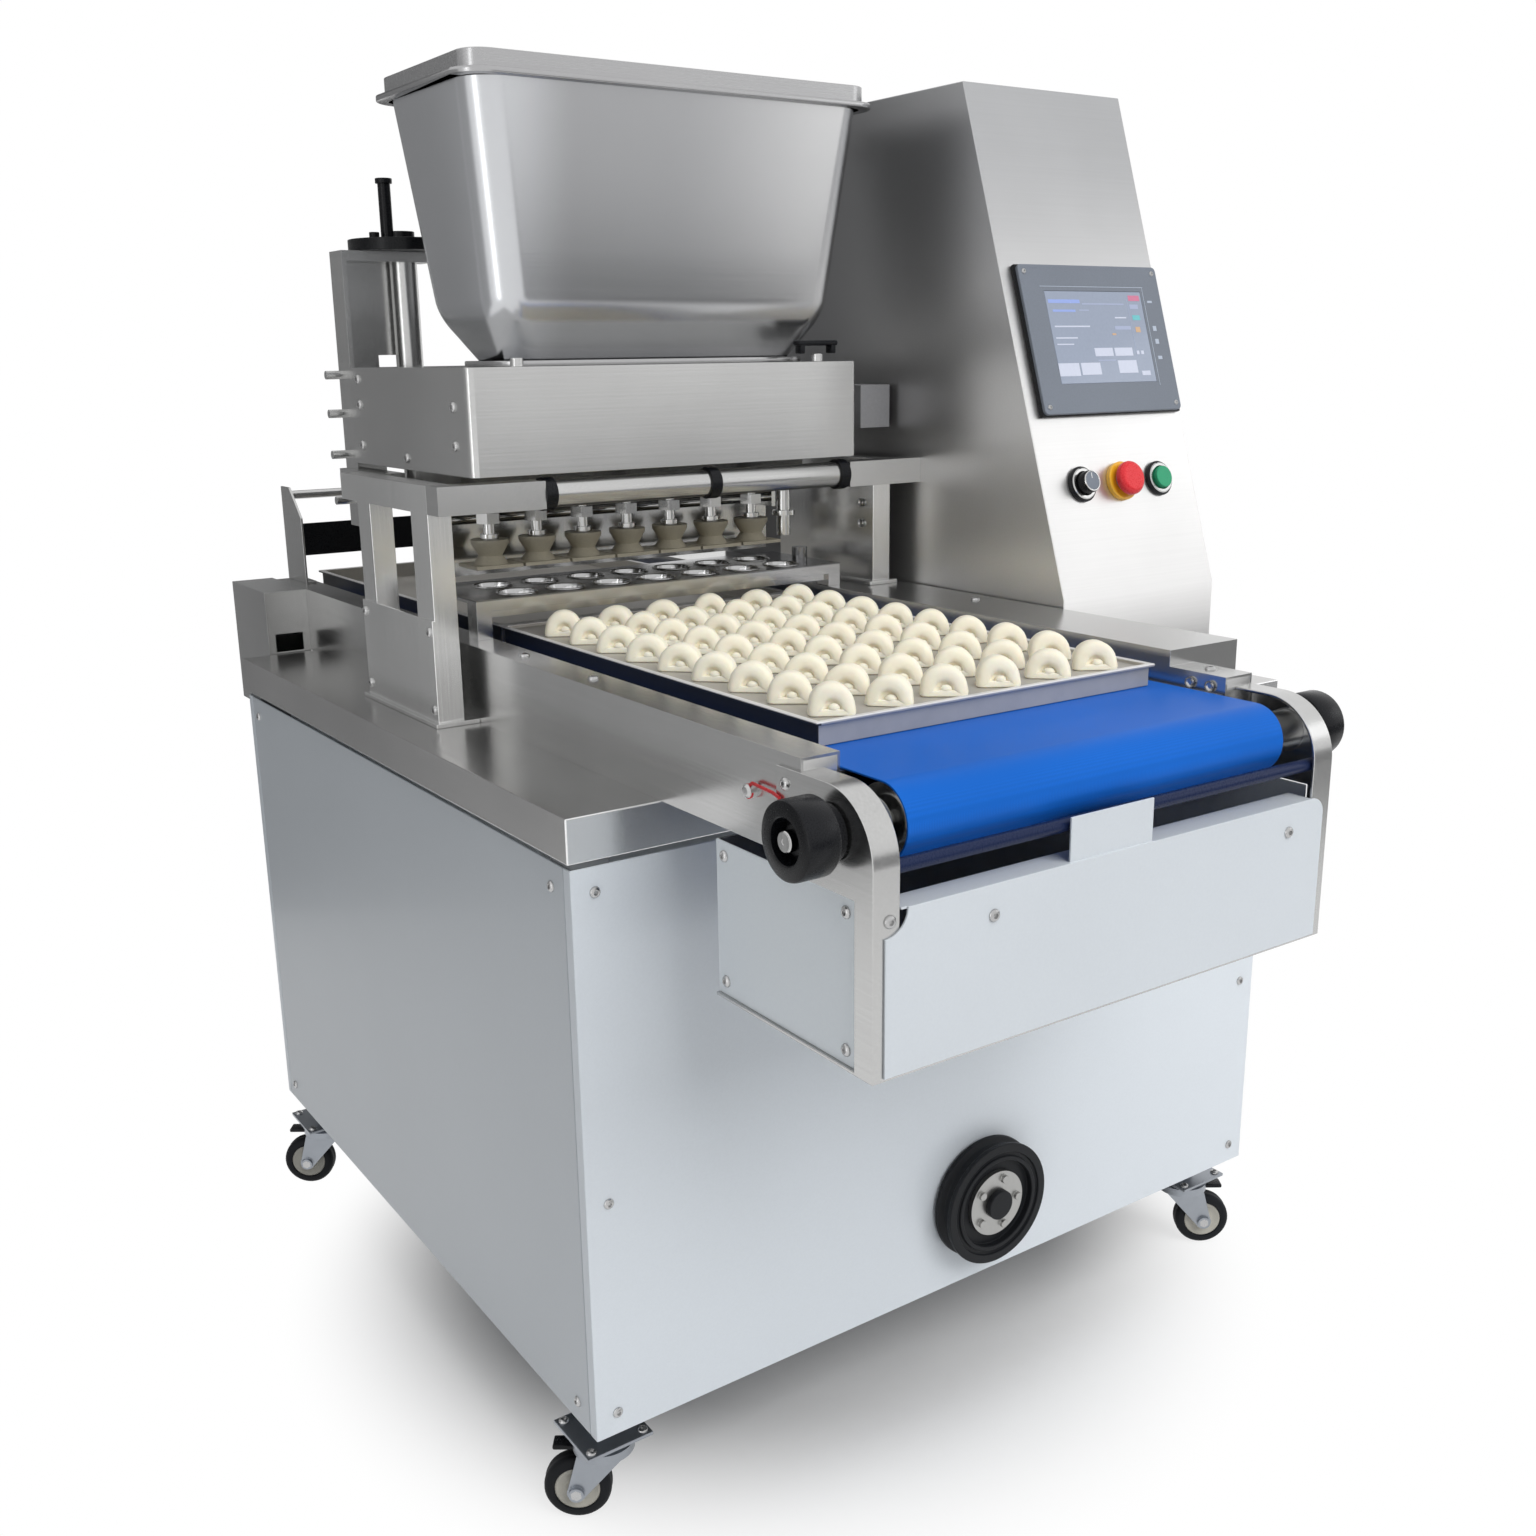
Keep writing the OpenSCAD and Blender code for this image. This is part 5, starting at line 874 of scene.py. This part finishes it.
class DEPOSITOR_OT_dough(DepositorOperator, bpy.types.Operator):
    """Rows of hooded dough rolls on the filled tray"""

    bl_idname = "depositor.dough"
    bl_label = "Dough"

    def execute(self, context):
        s = context.scene.depositor_sizes
        low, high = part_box("dough_pieces")
        middle = (low + high) / 2
        rolls = bmesh.new()
        for i in range(DOUGH_COLUMNS):
            for j in range(DOUGH_ROWS):
                wander = [math.sin((i * 12.9898 + j * 78.233 + k * 37.719) * 43.7) for k in range(5)]
                at = Vector((
                    middle.x + (i - (DOUGH_COLUMNS - 1) / 2) * DOUGH_PITCH[0] + wander[0] * DOUGH_STRAY,
                    middle.y + (j - (DOUGH_ROWS - 1) / 2) * DOUGH_PITCH[1] + wander[1] * DOUGH_STRAY, low.z,
                ))
                turn = Matrix.Rotation(s.dough_turn + wander[4] * DOUGH_SWING, 4, "Z")
                wide, deep, tall = (
                    mean + stray * DOUGH_GROWTH for mean, stray in zip((1.0, 1.0, DOUGH_LOWER), wander[2:])
                )
                self.roll(rolls, Matrix.Translation(at) @ turn @ Matrix.Diagonal((wide, deep, tall, 1.0)), s)
        piece = settle(rolls, "dough_rolls", "filled_tray", "dough", ("dough_pieces",), angle=80.0)
        smooth = piece.modifiers.new("Soft dough", "SUBSURF")
        smooth.levels = smooth.render_levels = 1
        return {"FINISHED"}

    def roll(self, bm, placing, s):
        """One hooded roll: a thick arch in front with a hollow under it, sloping to a closed tail"""
        half = s.dough_length / 2
        rings = []
        for along, wide, tall in ROLL_RINGS:
            ring = bmesh.ops.create_circle(bm, cap_ends=False, segments=16, radius=1.0)["verts"]
            for vert in ring:
                spread = ROLL_SPREAD if vert.co.y < ROLL_CUT and along < SPREAD_TO else 1.0
                up = max(vert.co.y, ROLL_CUT)
                vert.co = Vector((
                    vert.co.x * wide * s.dough_width / 2 * spread,
                    along * half + up * ROLL_LEAN,
                    (up - ROLL_CUT) / (1.0 - ROLL_CUT) * s.dough_height * tall,
                ))
            rings.append(ring)
        made = [v for ring in rings for v in ring]
        for near, far in zip(rings, rings[1:]):
            bmesh.ops.bridge_loops(bm, edges=ring_edges(near) + ring_edges(far))
        front = bm.faces.new(rings[0])
        bm.faces.new(rings[-1])
        bmesh.ops.recalc_face_normals(bm, faces=list({f for v in made for f in v.link_faces}))
        lip = bmesh.ops.inset_region(bm, faces=[front], thickness=ROLL_LIP, depth=0.0)["faces"]
        made += [v for f in lip for v in f.verts]
        for deep, shrink in HOLLOW_STEPS:
            front = bmesh.ops.extrude_discrete_faces(bm, faces=[front])["faces"][0]
            made += list(front.verts)
            middle = front.calc_center_median()
            for vert in front.verts:
                vert.co = middle + (vert.co - middle) * shrink
            bmesh.ops.translate(bm, vec=(0.0, deep, -HOLLOW_DROP), verts=list(front.verts))
        core = bmesh.ops.create_icosphere(bm, subdivisions=1, radius=1.0)["verts"]
        for vert in core:
            lump = 1.0 + 0.25 * math.sin(vert.co.x * 5.1 + vert.co.z * 7.3)
            vert.co = Vector((
                vert.co.x * lump * CORE_SIZE[0] + CORE_AT[0],
                vert.co.y * CORE_SIZE[1] - half + CORE_AT[1],
                vert.co.z * lump * CORE_SIZE[2] + CORE_AT[2],
            ))
        made += core
        bmesh.ops.transform(bm, matrix=placing, verts=list(set(made)))


CUP_COLUMNS, CUP_PITCH = 7, 0.061
# Rows of cups from the plate's front, and the cups' rims above its foot
CUP_ROWS, CUP_TOP = (0.036, 0.102), 0.0443
CUP_RADIUS = 0.0228
CUP_WALL = [(0.0205, -0.006), (0.0186, -0.014), (0.0172, -0.019), (0.0152, -0.0206), (0.0, -0.0207)]


class DEPOSITOR_OT_mould(DepositorOperator, bpy.types.Operator):
    """Cup plate under the nozzles with bright cup liners"""

    bl_idname = "depositor.mould"
    bl_label = "Cup mould"

    def execute(self, context):
        s = context.scene.depositor_sizes
        soften("cup_mould", "mould_metal")
        low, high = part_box("cup_mould")
        cups = bmesh.new()
        wire = s.rim_wire
        rim = [
            (CUP_RADIUS + wire * math.cos(math.radians(a)), wire * math.sin(math.radians(a)))
            for a in range(0, 181, 30)
        ]
        for i in range(CUP_COLUMNS):
            x = (low.x + high.x) / 2 + (i - CUP_COLUMNS // 2) * CUP_PITCH
            for row in CUP_ROWS:
                turned(cups, rim + CUP_WALL, Matrix.Translation((x, low.y + row, low.z + CUP_TOP)), 32)
        liner = steel("Cup liner", context.scene.depositor_colours.liner, ALONG_Z, (0.14, 0.26), 1.0)
        settle(cups, "cup_liners", "chassis", "polished_steel", material=liner)
        return {"FINISHED"}


class DEPOSITOR_OT_portal(DepositorOperator, bpy.types.Operator):
    """Portals, cross bar and its collars"""

    bl_idname = "depositor.portal"
    bl_label = "Portals"

    def execute(self, context):
        # The portals get the brushed sheet made lighter: painted light
        bright = steel("Portal sheet painted light", shaded(context.scene.depositor_colours.sheet, 1.45)[:3], ALONG_Z)
        for node in ("left_portal", "right_portal"):
            soften(node, "stainless", material=bright)
        soften("cross_bar", "stainless")
        soften("bar_collars", "black_plastic")
        return {"FINISHED"}


# Two posts and the bar of the latch, from the casing's upper right front corner: corners, rounding, segments
LATCH = (
    ((-0.075, 0.012, 0.0), (-0.068, 0.024, 0.012), 0.0015, 2),
    ((-0.03, 0.012, 0.0), (-0.023, 0.024, 0.012), 0.0015, 2),
    ((-0.078, 0.011, 0.009), (-0.02, 0.025, 0.015), 0.0025, 3),
)


class DEPOSITOR_OT_head(DepositorOperator, bpy.types.Operator):
    """Head casing, manifold, nozzles, feed rollers, gear motor and the hopper's latch"""

    bl_idname = "depositor.head"
    bl_label = "Depositing head"

    def execute(self, context):
        s = context.scene.depositor_sizes
        sheet = steel("Head sheet", context.scene.depositor_colours.head, ALONG_X)
        soften("head_casing", "stainless", s.fold_round, material=sheet)
        soften("nozzle_manifold", "polished_steel")
        soften("nozzle_tips", "cream_plastic")
        soften("gear_motor", "motor_metal")
        low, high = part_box("head_casing")
        corner = Vector((high.x, low.y, high.z))
        latch = bmesh.new()
        for near, far, rounding, segments in LATCH:
            slab(latch, corner + Vector(near), corner + Vector(far), rounding, segments)
        settle(latch, "hopper_latch", "head", "black_plastic")
        for node in ("feed_roller_front", "feed_roller_rear"):
            paint(node, "polished_steel")
        return {"FINISHED"}


HOPPER_WALL = 0.003
# Sections of the shell as (height, width, depth, corner), the rim's less than the solid's by RIM_INSET
HOPPER_FOOT, HOPPER_KNEE = (0.006, 0.38, 0.112, 0.036), (0.056, 0.442, 0.184, 0.04)
RIM_INSET, RIM_DROP = 0.024, 0.0005
# Flat rims at the top and the foot
RIM_CORNER, RIM_THICK = 0.036, 0.006
FOOT_RIM = (0.404, 0.136)


class DEPOSITOR_OT_hopper(DepositorOperator, bpy.types.Operator):
    """Hopper and its lid"""

    bl_idname = "depositor.hopper"
    bl_label = "Hopper"

    def execute(self, context):
        s = context.scene.depositor_sizes
        c = context.scene.depositor_colours
        low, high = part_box("hopper")
        middle = (low + high) / 2
        across, ahead = high.x - low.x, high.y - low.y
        body = bmesh.new()
        lofted(body, [
            rounded_ring(body, middle, wide, deep, corner, low.z + height)
            for height, wide, deep, corner in self.sections(across, ahead, high.z - low.z)
        ])
        shell = settle(body, "hopper_shell", "hopper_body", "hopper_steel", ("hopper",), angle=60.0)
        wall = shell.modifiers.new("Wall", "SOLIDIFY")
        wall.thickness, wall.offset = HOPPER_WALL, -1.0
        rims = bmesh.new()
        for wide, deep, inner, base in (
            (across, ahead, 0.0135, high.z - RIM_THICK), (*FOOT_RIM, 0.015, low.z),
        ):
            lofted(rims, [
                rounded_ring(
                    rims, middle, wide - 2 * cut, deep - 2 * cut, RIM_CORNER - cut, base + share * RIM_THICK
                )
                for cut, share in (
                    (0.0, 0.2), (0.0, 0.8), (0.0004, 0.95), (0.0012, 1.0), (inner, 1.0), (inner, 0.0),
                    (0.0012, 0.0), (0.0004, 0.05),
                )
            ], closed=True)
        rim_sheet = steel("Rim sheet", c.lid, ALONG_X, (0.18, 0.3), **SATIN)
        settle(rims, "hopper_rims", "hopper_body", "hopper_steel", ("hopper",), rim_sheet)
        lid_sheet = steel("Lid sheet", c.lid, ALONG_X, (0.2, 0.32), **SATIN)
        soften("hopper_lid", "hopper_steel", s.fold_round, 4, lid_sheet)
        return {"FINISHED"}

    def sections(self, across, ahead, tall):
        """Sections of the shell from foot to rim, round at the knee"""
        foot, knee = HOPPER_FOOT, HOPPER_KNEE
        rim = (tall - RIM_DROP, across - RIM_INSET, ahead - RIM_INSET, knee[3])

        def between(a, b, share):
            return tuple(p + (q - p) * share for p, q in zip(a, b))

        below, above = between(foot, knee, 0.68), between(knee, rim, 0.07)
        bend = [
            between(between(below, knee, i / 8), between(knee, above, i / 8), i / 8) for i in range(9)
        ]
        shares = (0.25, 0.5, 0.75, 0.985, 1.0)
        return [foot, between(foot, below, 0.06)] + bend + [between(above, rim, share) for share in shares]


class DEPOSITOR_OT_lift(DepositorOperator, bpy.types.Operator):
    """Lift column and handwheel"""

    bl_idname = "depositor.lift"
    bl_label = "Head lift"

    def execute(self, context):
        soften("lift_column", "stainless")
        soften("handwheel", "black_plastic")
        return {"FINISHED"}


class DEPOSITOR_OT_column(DepositorOperator, bpy.types.Operator):
    """Control column"""

    bl_idname = "depositor.column"
    bl_label = "Control column"

    def execute(self, context):
        s = context.scene.depositor_sizes
        soften("control_column", "column_steel", s.fold_round, 3)
        return {"FINISHED"}


# The display's middle on the column's front, its face above that front, and the screen's size and upper edge
DISPLAY_AT, DISPLAY_FACE = (0.3535, 0.302), 0.0099
SCREEN_WIDE, SCREEN_TALL, SCREEN_TOP = 0.16, 0.11, 0.057
GASKET_LOW, GASKET_HIGH = (-0.1163, -0.0898, 0.0001), (0.1163, 0.0898, 0.0062)
BEZEL_SCREWS, BEZEL_SCREW_RADIUS = (0.1065, 0.08), 0.0032
# Middle, width and height of the marks on the bezel
BEZEL_MARKS = (
    (0.094, 0.045, 0.008, 0.0025), (0.094, 0.012, 0.006, 0.006), (0.094, -0.004, 0.006, 0.006),
    (0.094, -0.024, 0.007, 0.004), (0.0, 0.0625, 0.172, 0.0006), (0.0845, 0.002, 0.0006, 0.12),
)
PALE, DIM, BLUE = (1.0, 1.0, 1.0), (0.62, 0.66, 0.76), (0.5, 0.62, 1.0)
RED, TEAL, AMBER = (1.0, 0.3, 0.4), (0.25, 0.8, 0.72), (1.0, 0.62, 0.32)
# Left, top, right and foot of each field as shares of the screen, and its tint
SCREEN_LAYOUT = (
    (0.02, 0.09, 0.34, 0.13, BLUE), (0.36, 0.13, 0.8, 0.145, DIM), (0.05, 0.2, 0.28, 0.225, BLUE),
    (0.32, 0.2, 0.42, 0.212, DIM), (0.04, 0.375, 0.4, 0.39, PALE), (0.03, 0.5, 0.25, 0.515, PALE),
    (0.03, 0.57, 0.2, 0.582, PALE), (0.68, 0.28, 0.8, 0.295, PALE), (0.66, 0.38, 0.83, 0.42, DIM),
    (0.84, 0.08, 0.843, 0.72, DIM), (0.86, 0.04, 0.98, 0.1, RED), (0.86, 0.14, 0.95, 0.19, DIM),
    (0.87, 0.26, 0.95, 0.315, TEAL), (0.88, 0.39, 0.93, 0.45, AMBER), (0.62, 0.46, 0.66, 0.48, AMBER),
    (0.4, 0.62, 0.59, 0.71, PALE), (0.61, 0.62, 0.8, 0.71, PALE), (0.0, 0.78, 0.21, 0.92, PALE),
    (0.23, 0.78, 0.43, 0.91, PALE), (0.62, 0.76, 0.82, 0.9, PALE), (0.42, 0.75, 0.6, 0.762, DIM),
    (0.84, 0.655, 0.87, 0.695, PALE), (0.89, 0.655, 0.92, 0.695, PALE), (0.86, 0.88, 0.95, 0.93, PALE),
)


class DEPOSITOR_OT_display(DepositorOperator, bpy.types.Operator):
    """Display with a generic layout of fields and keys"""

    bl_idname = "depositor.display"
    bl_label = "Display"

    def execute(self, context):
        s = context.scene.depositor_sizes
        c = context.scene.depositor_colours
        soften("hmi_panel", "slate_plastic", s.small_round * 1.5, 3)
        soften("hmi_screen", "screen_glass", s.small_round * 0.25)
        placing = on_panel(*DISPLAY_AT)
        gasket, screws, marks, layout = (bmesh.new() for _ in range(4))
        slab(gasket, GASKET_LOW, GASKET_HIGH, 0.0015, 2, placing)
        settle(gasket, "hmi_gasket", "chassis", "black_plastic")
        for x in (-BEZEL_SCREWS[0], BEZEL_SCREWS[0]):
            for y in (-BEZEL_SCREWS[1], BEZEL_SCREWS[1]):
                screw_head(screws, placing @ Vector((x, y, DISPLAY_FACE)), SLOPE, BEZEL_SCREW_RADIUS)
        settle(screws, "hmi_screws", "chassis", "screw_steel")
        for x, y, wide, tall in BEZEL_MARKS:
            low = (x - wide / 2, y - tall / 2, DISPLAY_FACE - 0.0001)
            slab(marks, low, (x + wide / 2, y + tall / 2, DISPLAY_FACE + 0.0003), placing=placing)
        pale = moulded("Pale slate", shaded(c.slate, 2.6)[:3], (0.36, 0.48), 600.0)
        settle(marks, "hmi_marks", "chassis", "slate_plastic", material=pale)
        dye = layout.loops.layers.float_color.new("Layout")
        for left, top, right, foot, tint in SCREEN_LAYOUT:
            before = set(layout.faces)
            x0, x1 = ((share - 0.5) * SCREEN_WIDE for share in (left, right))
            y0, y1 = (SCREEN_TOP - share * SCREEN_TALL for share in (foot, top))
            slab(layout, (x0, y0, DISPLAY_FACE - 0.0002), (x1, y1, DISPLAY_FACE), placing=placing)
            for face in set(layout.faces) - before:
                for loop in face.loops:
                    loop[dye] = (*tint, 1.0)
        keys = moulded("Screen keys", c.key, (0.2, 0.3), 300.0, (0.96, 1.04), 0.01, lit=0.35, dyed="Layout")
        settle(layout, "screen_layout", "chassis", "screen_glass", material=keys)
        return {"FINISHED"}


# Middles of selector, stop and start across the column, and their place up its front
BUTTON_XS, BUTTON_UP = (0.2825, 0.3475, 0.4125), 0.132
# Profiles as (radius, height above the column's front)
SELECTOR_PARTS = (
    ("selector_body", "black_plastic", (
        (0.0, 0.0016), (0.0124, 0.0016), (0.013, 0.0026), (0.013, 0.0165), (0.0122, 0.0185), (0.0118, 0.0188),
    )),
    ("selector_ring", "polished_steel", (
        (0.0118, 0.018), (0.0122, 0.0188), (0.0119, 0.0194), (0.0108, 0.0195), (0.0105, 0.0188),
    )),
    ("selector_face", "slate_plastic", ((0.0107, 0.0188), (0.009, 0.0191), (0.0, 0.0192))),
)
SELECTOR_MARK = ((-0.0005, 0.003, 0.0189), (0.0005, 0.0095, 0.0194))
BLACK_COLLAR = ((0.0133, 0.0), (0.021, 0.0), (0.021, 0.0035), (0.0202, 0.0045), (0.0133, 0.0045), (0.0133, 0.0))
STEEL_RING = (
    (0.0134, 0.0045), (0.0186, 0.0045), (0.0186, 0.0058), (0.0174, 0.007), (0.0146, 0.007), (0.0134, 0.006),
    (0.0134, 0.0045),
)
STOP_COLLAR = (
    (0.0136, 0.0), (0.0222, 0.0), (0.023, 0.0008), (0.023, 0.0058), (0.0216, 0.007), (0.0136, 0.007),
    (0.0136, 0.0),
)


class DEPOSITOR_OT_buttons(DepositorOperator, bpy.types.Operator):
    """Selector, stop and start with their collars"""

    bl_idname = "depositor.buttons"
    bl_label = "Buttons"

    def execute(self, context):
        s = context.scene.depositor_sizes
        soften("estop_button", "red_plastic", s.small_round * 3, 4)
        soften("start_button", "green_plastic", s.small_round * 1.5, 3)
        selector, stop, start = (on_panel(x, BUTTON_UP) for x in BUTTON_XS)
        for name, slot, profile in SELECTOR_PARTS:
            shape = bmesh.new()
            turned(shape, profile, selector)
            settle(shape, name, "selector", slot, ("selector_knob",))
        mark, collar, ring, yellow = (bmesh.new() for _ in range(4))
        slab(mark, *SELECTOR_MARK, placing=selector)
        settle(mark, "selector_mark", "selector", "polished_steel", ("selector_knob",))
        for at in (selector, start):
            turned(collar, BLACK_COLLAR, at)
            turned(ring, STEEL_RING, at)
        turned(yellow, STOP_COLLAR, stop)
        settle(collar, "button_collars", "chassis", "black_plastic", ("button_bezels",))
        settle(ring, "button_rings", "chassis", "polished_steel", ("button_bezels",))
        settle(yellow, "stop_collar", "chassis", "bezel_metal", ("button_bezels",))
        return {"FINISHED"}


WHITE = (1.0, 1.0, 1.0, 1.0)
EVEN_LIGHT = (0.94, 0.97, 1.0, 1.0)
SENSOR_WIDTH = 36.0
FLOOR_RADIUS, FLOOR_TONES = 14.0, (0.9, 0.93)
# The floor turns white between these distances from its middle
FADE_FROM, FADE_TO = 0.34, 0.65


class DEPOSITOR_OT_stage(DepositorOperator, bpy.types.Operator):
    """Floor, soft lamps, white surroundings and camera"""

    bl_idname = "depositor.stage"
    bl_label = "Stage"

    def execute(self, context):
        scene = context.scene
        g = scene.depositor_stage
        scene.view_settings.view_transform = "Standard"
        self.floor()
        self.surroundings(scene, g.sky)
        for name, at, target, span, power in (
            ("Key lamp", (0.4, -3.05, 3.15), (0.0, -0.3, 0.7), 3.2, g.key),
            ("Fill lamp", (-3.4, -0.9, 1.9), (0.0, 0.0, 0.7), 2.6, g.fill),
            ("Top lamp", (-0.2, 0.2, 3.9), (-0.1, 0.0, 0.8), 3.0, g.top),
        ):
            lamp = bpy.data.lights.new(name, "AREA")
            lamp.energy, lamp.size = power, span
            stand = bpy.data.objects.new(name, lamp)
            stand.location = at
            stand.visible_glossy = False
            stand.rotation_euler = (Vector(at) - Vector(target)).to_track_quat("Z", "Y").to_euler()
            scene.collection.objects.link(stand)
        glow, dim = (0.33, 0.33, 0.33), (0.22, 0.22, 0.22)
        for name, at, target, span, tone, lit, sweeps in (
            ("Left flag", (-1.35, 1.35, 0.9), (-0.3, -0.4, 0.9), (3.4, 1.8), 0.3, 0.5, (
                (AHEAD, 1.12, 1.3, glow), (AHEAD, 1.4, 1.53, dim),
            )),
            ("Rear flag", (-0.1, 2.4, 1.75), (-0.1, 0.0, 1.2), (2.8, 1.7), 0.1, 0.5, ()),
            ("Front flag", (1.9, -2.4, 0.42), (0.0, 0.0, 0.9), (4.4, 0.84), 0.22, 0.5, ()),
            ("Left strip", (-3.0, -0.9, 1.1), (-0.4, 0.0, 1.1), (0.5, 2.6), 1.0, 2.6, ()),
            ("Right strip", (2.8, -2.0, 2.0), (0.4, -0.2, 1.05), (1.5, 0.9), 1.0, 1.25, ()),
        ):
            self.flag(name, at, target, span, (tone, tone, tone), lit, sweeps)
        scene.camera = self.camera(g)
        scene.collection.objects.link(scene.camera)
        return {"FINISHED"}

    def camera(self, g):
        """The camera that looks from the photographed side"""
        lens = bpy.data.cameras.new("Camera")
        lens.lens, lens.sensor_width, lens.clip_end = g.lens, SENSOR_WIDTH, 100.0
        eye = bpy.data.objects.new("Camera", lens)
        ahead = Vector((
            math.sin(g.yaw) * math.cos(g.pitch), math.cos(g.yaw) * math.cos(g.pitch), math.sin(g.pitch),
        ))
        level = Vector((math.cos(g.yaw), -math.sin(g.yaw), 0.0))
        above = level.cross(ahead)
        side = level * math.cos(g.roll) + above * math.sin(g.roll)
        top = above * math.cos(g.roll) - level * math.sin(g.roll)
        turn = Matrix((side, top, -ahead)).transposed().to_4x4()
        eye.matrix_world = Matrix.Translation(g.eye) @ turn
        return eye

    def flag(self, name, at, target, span, tone, lit, sweeps):
        """A dark or bright card beside the machine that only shows as a reflection in the steel"""
        bm = bmesh.new()
        turn = (Vector(at) - Vector(target)).to_track_quat("Z", "Y").to_matrix().to_4x4()
        bmesh.ops.create_grid(
            bm, x_segments=1, y_segments=1, size=0.5,
            matrix=Matrix.Translation(at) @ turn @ Matrix.Diagonal((*span, 1.0, 1.0)),
        )
        card = put(bm, name, moulded(name, tone, (0.8, 0.9), 30.0, shine=0.1, lit=lit, sweeps=sweeps))
        card.visible_camera = card.visible_diffuse = card.visible_shadow = False

    def floor(self):
        """A pale floor that is white far from the machine"""
        bm = bmesh.new()
        bmesh.ops.create_circle(bm, cap_ends=True, segments=64, radius=FLOOR_RADIUS)
        made, tree, shader, where = new_material("Studio floor")
        speck = noise(tree, where, 40.0, 3.0)
        pale = place(tree, "ShaderNodeValToRGB", {"Fac": speck})
        for stop, tone in zip(pale.color_ramp.elements, FLOOR_TONES):
            stop.color = (tone, tone, tone, 1.0)
        feed(tree, shader, {"Base Color": pale.outputs["Color"], "Roughness": 0.85, "Specular IOR Level": 0.1})
        away = place(tree, "ShaderNodeVectorMath", {0: where}, operation="LENGTH").outputs["Value"]
        white = place(tree, "ShaderNodeEmission", {"Color": WHITE, "Strength": 1.0})
        part = maths(tree, "MULTIPLY", fade(tree, away, FADE_FROM, FADE_TO), self.seen(tree))
        mixed = place(tree, "ShaderNodeMixShader", {0: part, 1: shader.outputs[0], 2: white.outputs[0]})
        feed(tree, tree.nodes["Material Output"], {"Surface": mixed.outputs[0]})
        put(bm, "Floor", made)

    def seen(self, tree):
        """One for rays that show the surroundings: camera, glossy and transmission rays"""
        path = place(tree, "ShaderNodeLightPath").outputs
        shown = maths(tree, "MAXIMUM", path["Is Camera Ray"], path["Is Glossy Ray"])
        return maths(tree, "MAXIMUM", shown, path["Is Transmission Ray"])

    def surroundings(self, scene, strength):
        """A white background, and an even light of its own strength"""
        world = bpy.data.worlds.new("Studio")
        scene.world = world
        world.use_nodes = True
        tree = world.node_tree
        tree.nodes.clear()
        even = place(tree, "ShaderNodeBackground", {"Color": EVEN_LIGHT, "Strength": strength})
        white = place(tree, "ShaderNodeBackground", {"Color": WHITE, "Strength": 1.0})
        seen = self.seen(tree)
        mixed = place(tree, "ShaderNodeMixShader", {0: seen, 1: even.outputs[0], 2: white.outputs[0]})
        place(tree, "ShaderNodeOutputWorld", {"Surface": mixed.outputs[0]})


PIECES = (
    DEPOSITOR_OT_cabinet, DEPOSITOR_OT_screws, DEPOSITOR_OT_casters, DEPOSITOR_OT_pulley, DEPOSITOR_OT_conveyor,
    DEPOSITOR_OT_knobs, DEPOSITOR_OT_trays, DEPOSITOR_OT_dough, DEPOSITOR_OT_mould, DEPOSITOR_OT_portal,
    DEPOSITOR_OT_head, DEPOSITOR_OT_hopper, DEPOSITOR_OT_lift, DEPOSITOR_OT_column, DEPOSITOR_OT_display,
    DEPOSITOR_OT_buttons, DEPOSITOR_OT_stage,
)


class DEPOSITOR_PT_panel(bpy.types.Panel):
    """Sidebar panel with the operators, colours and sizes"""

    bl_label = "Cookie depositor"
    bl_idname = "DEPOSITOR_PT_panel"
    bl_space_type = "VIEW_3D"
    bl_region_type = "UI"
    bl_category = "Depositor"

    def draw(self, context):
        for kind in PIECES:
            self.layout.operator(kind.bl_idname)
        scene = context.scene
        for group in (scene.depositor_colours, scene.depositor_sizes, scene.depositor_stage):
            for key in group.bl_rna.properties.keys():
                if key not in {"rna_type", "name"}:
                    self.layout.prop(group, key)


CLASSES = (DepositorColours, DepositorSizes, DepositorStage, *PIECES, DEPOSITOR_PT_panel)


def register():
    for kind in CLASSES:
        bpy.utils.register_class(kind)
    bpy.types.Scene.depositor_colours = PointerProperty(type=DepositorColours)
    bpy.types.Scene.depositor_sizes = PointerProperty(type=DepositorSizes)
    bpy.types.Scene.depositor_stage = PointerProperty(type=DepositorStage)


def unregister():
    for key in ("depositor_colours", "depositor_sizes", "depositor_stage"):
        delattr(bpy.types.Scene, key)
    for kind in reversed(CLASSES):
        bpy.utils.unregister_class(kind)


def main():
    register()
    for kind in PIECES:
        group, name = kind.bl_idname.split(".")
        getattr(getattr(bpy.ops, group), name)()


if __name__ == "__main__":
    main()
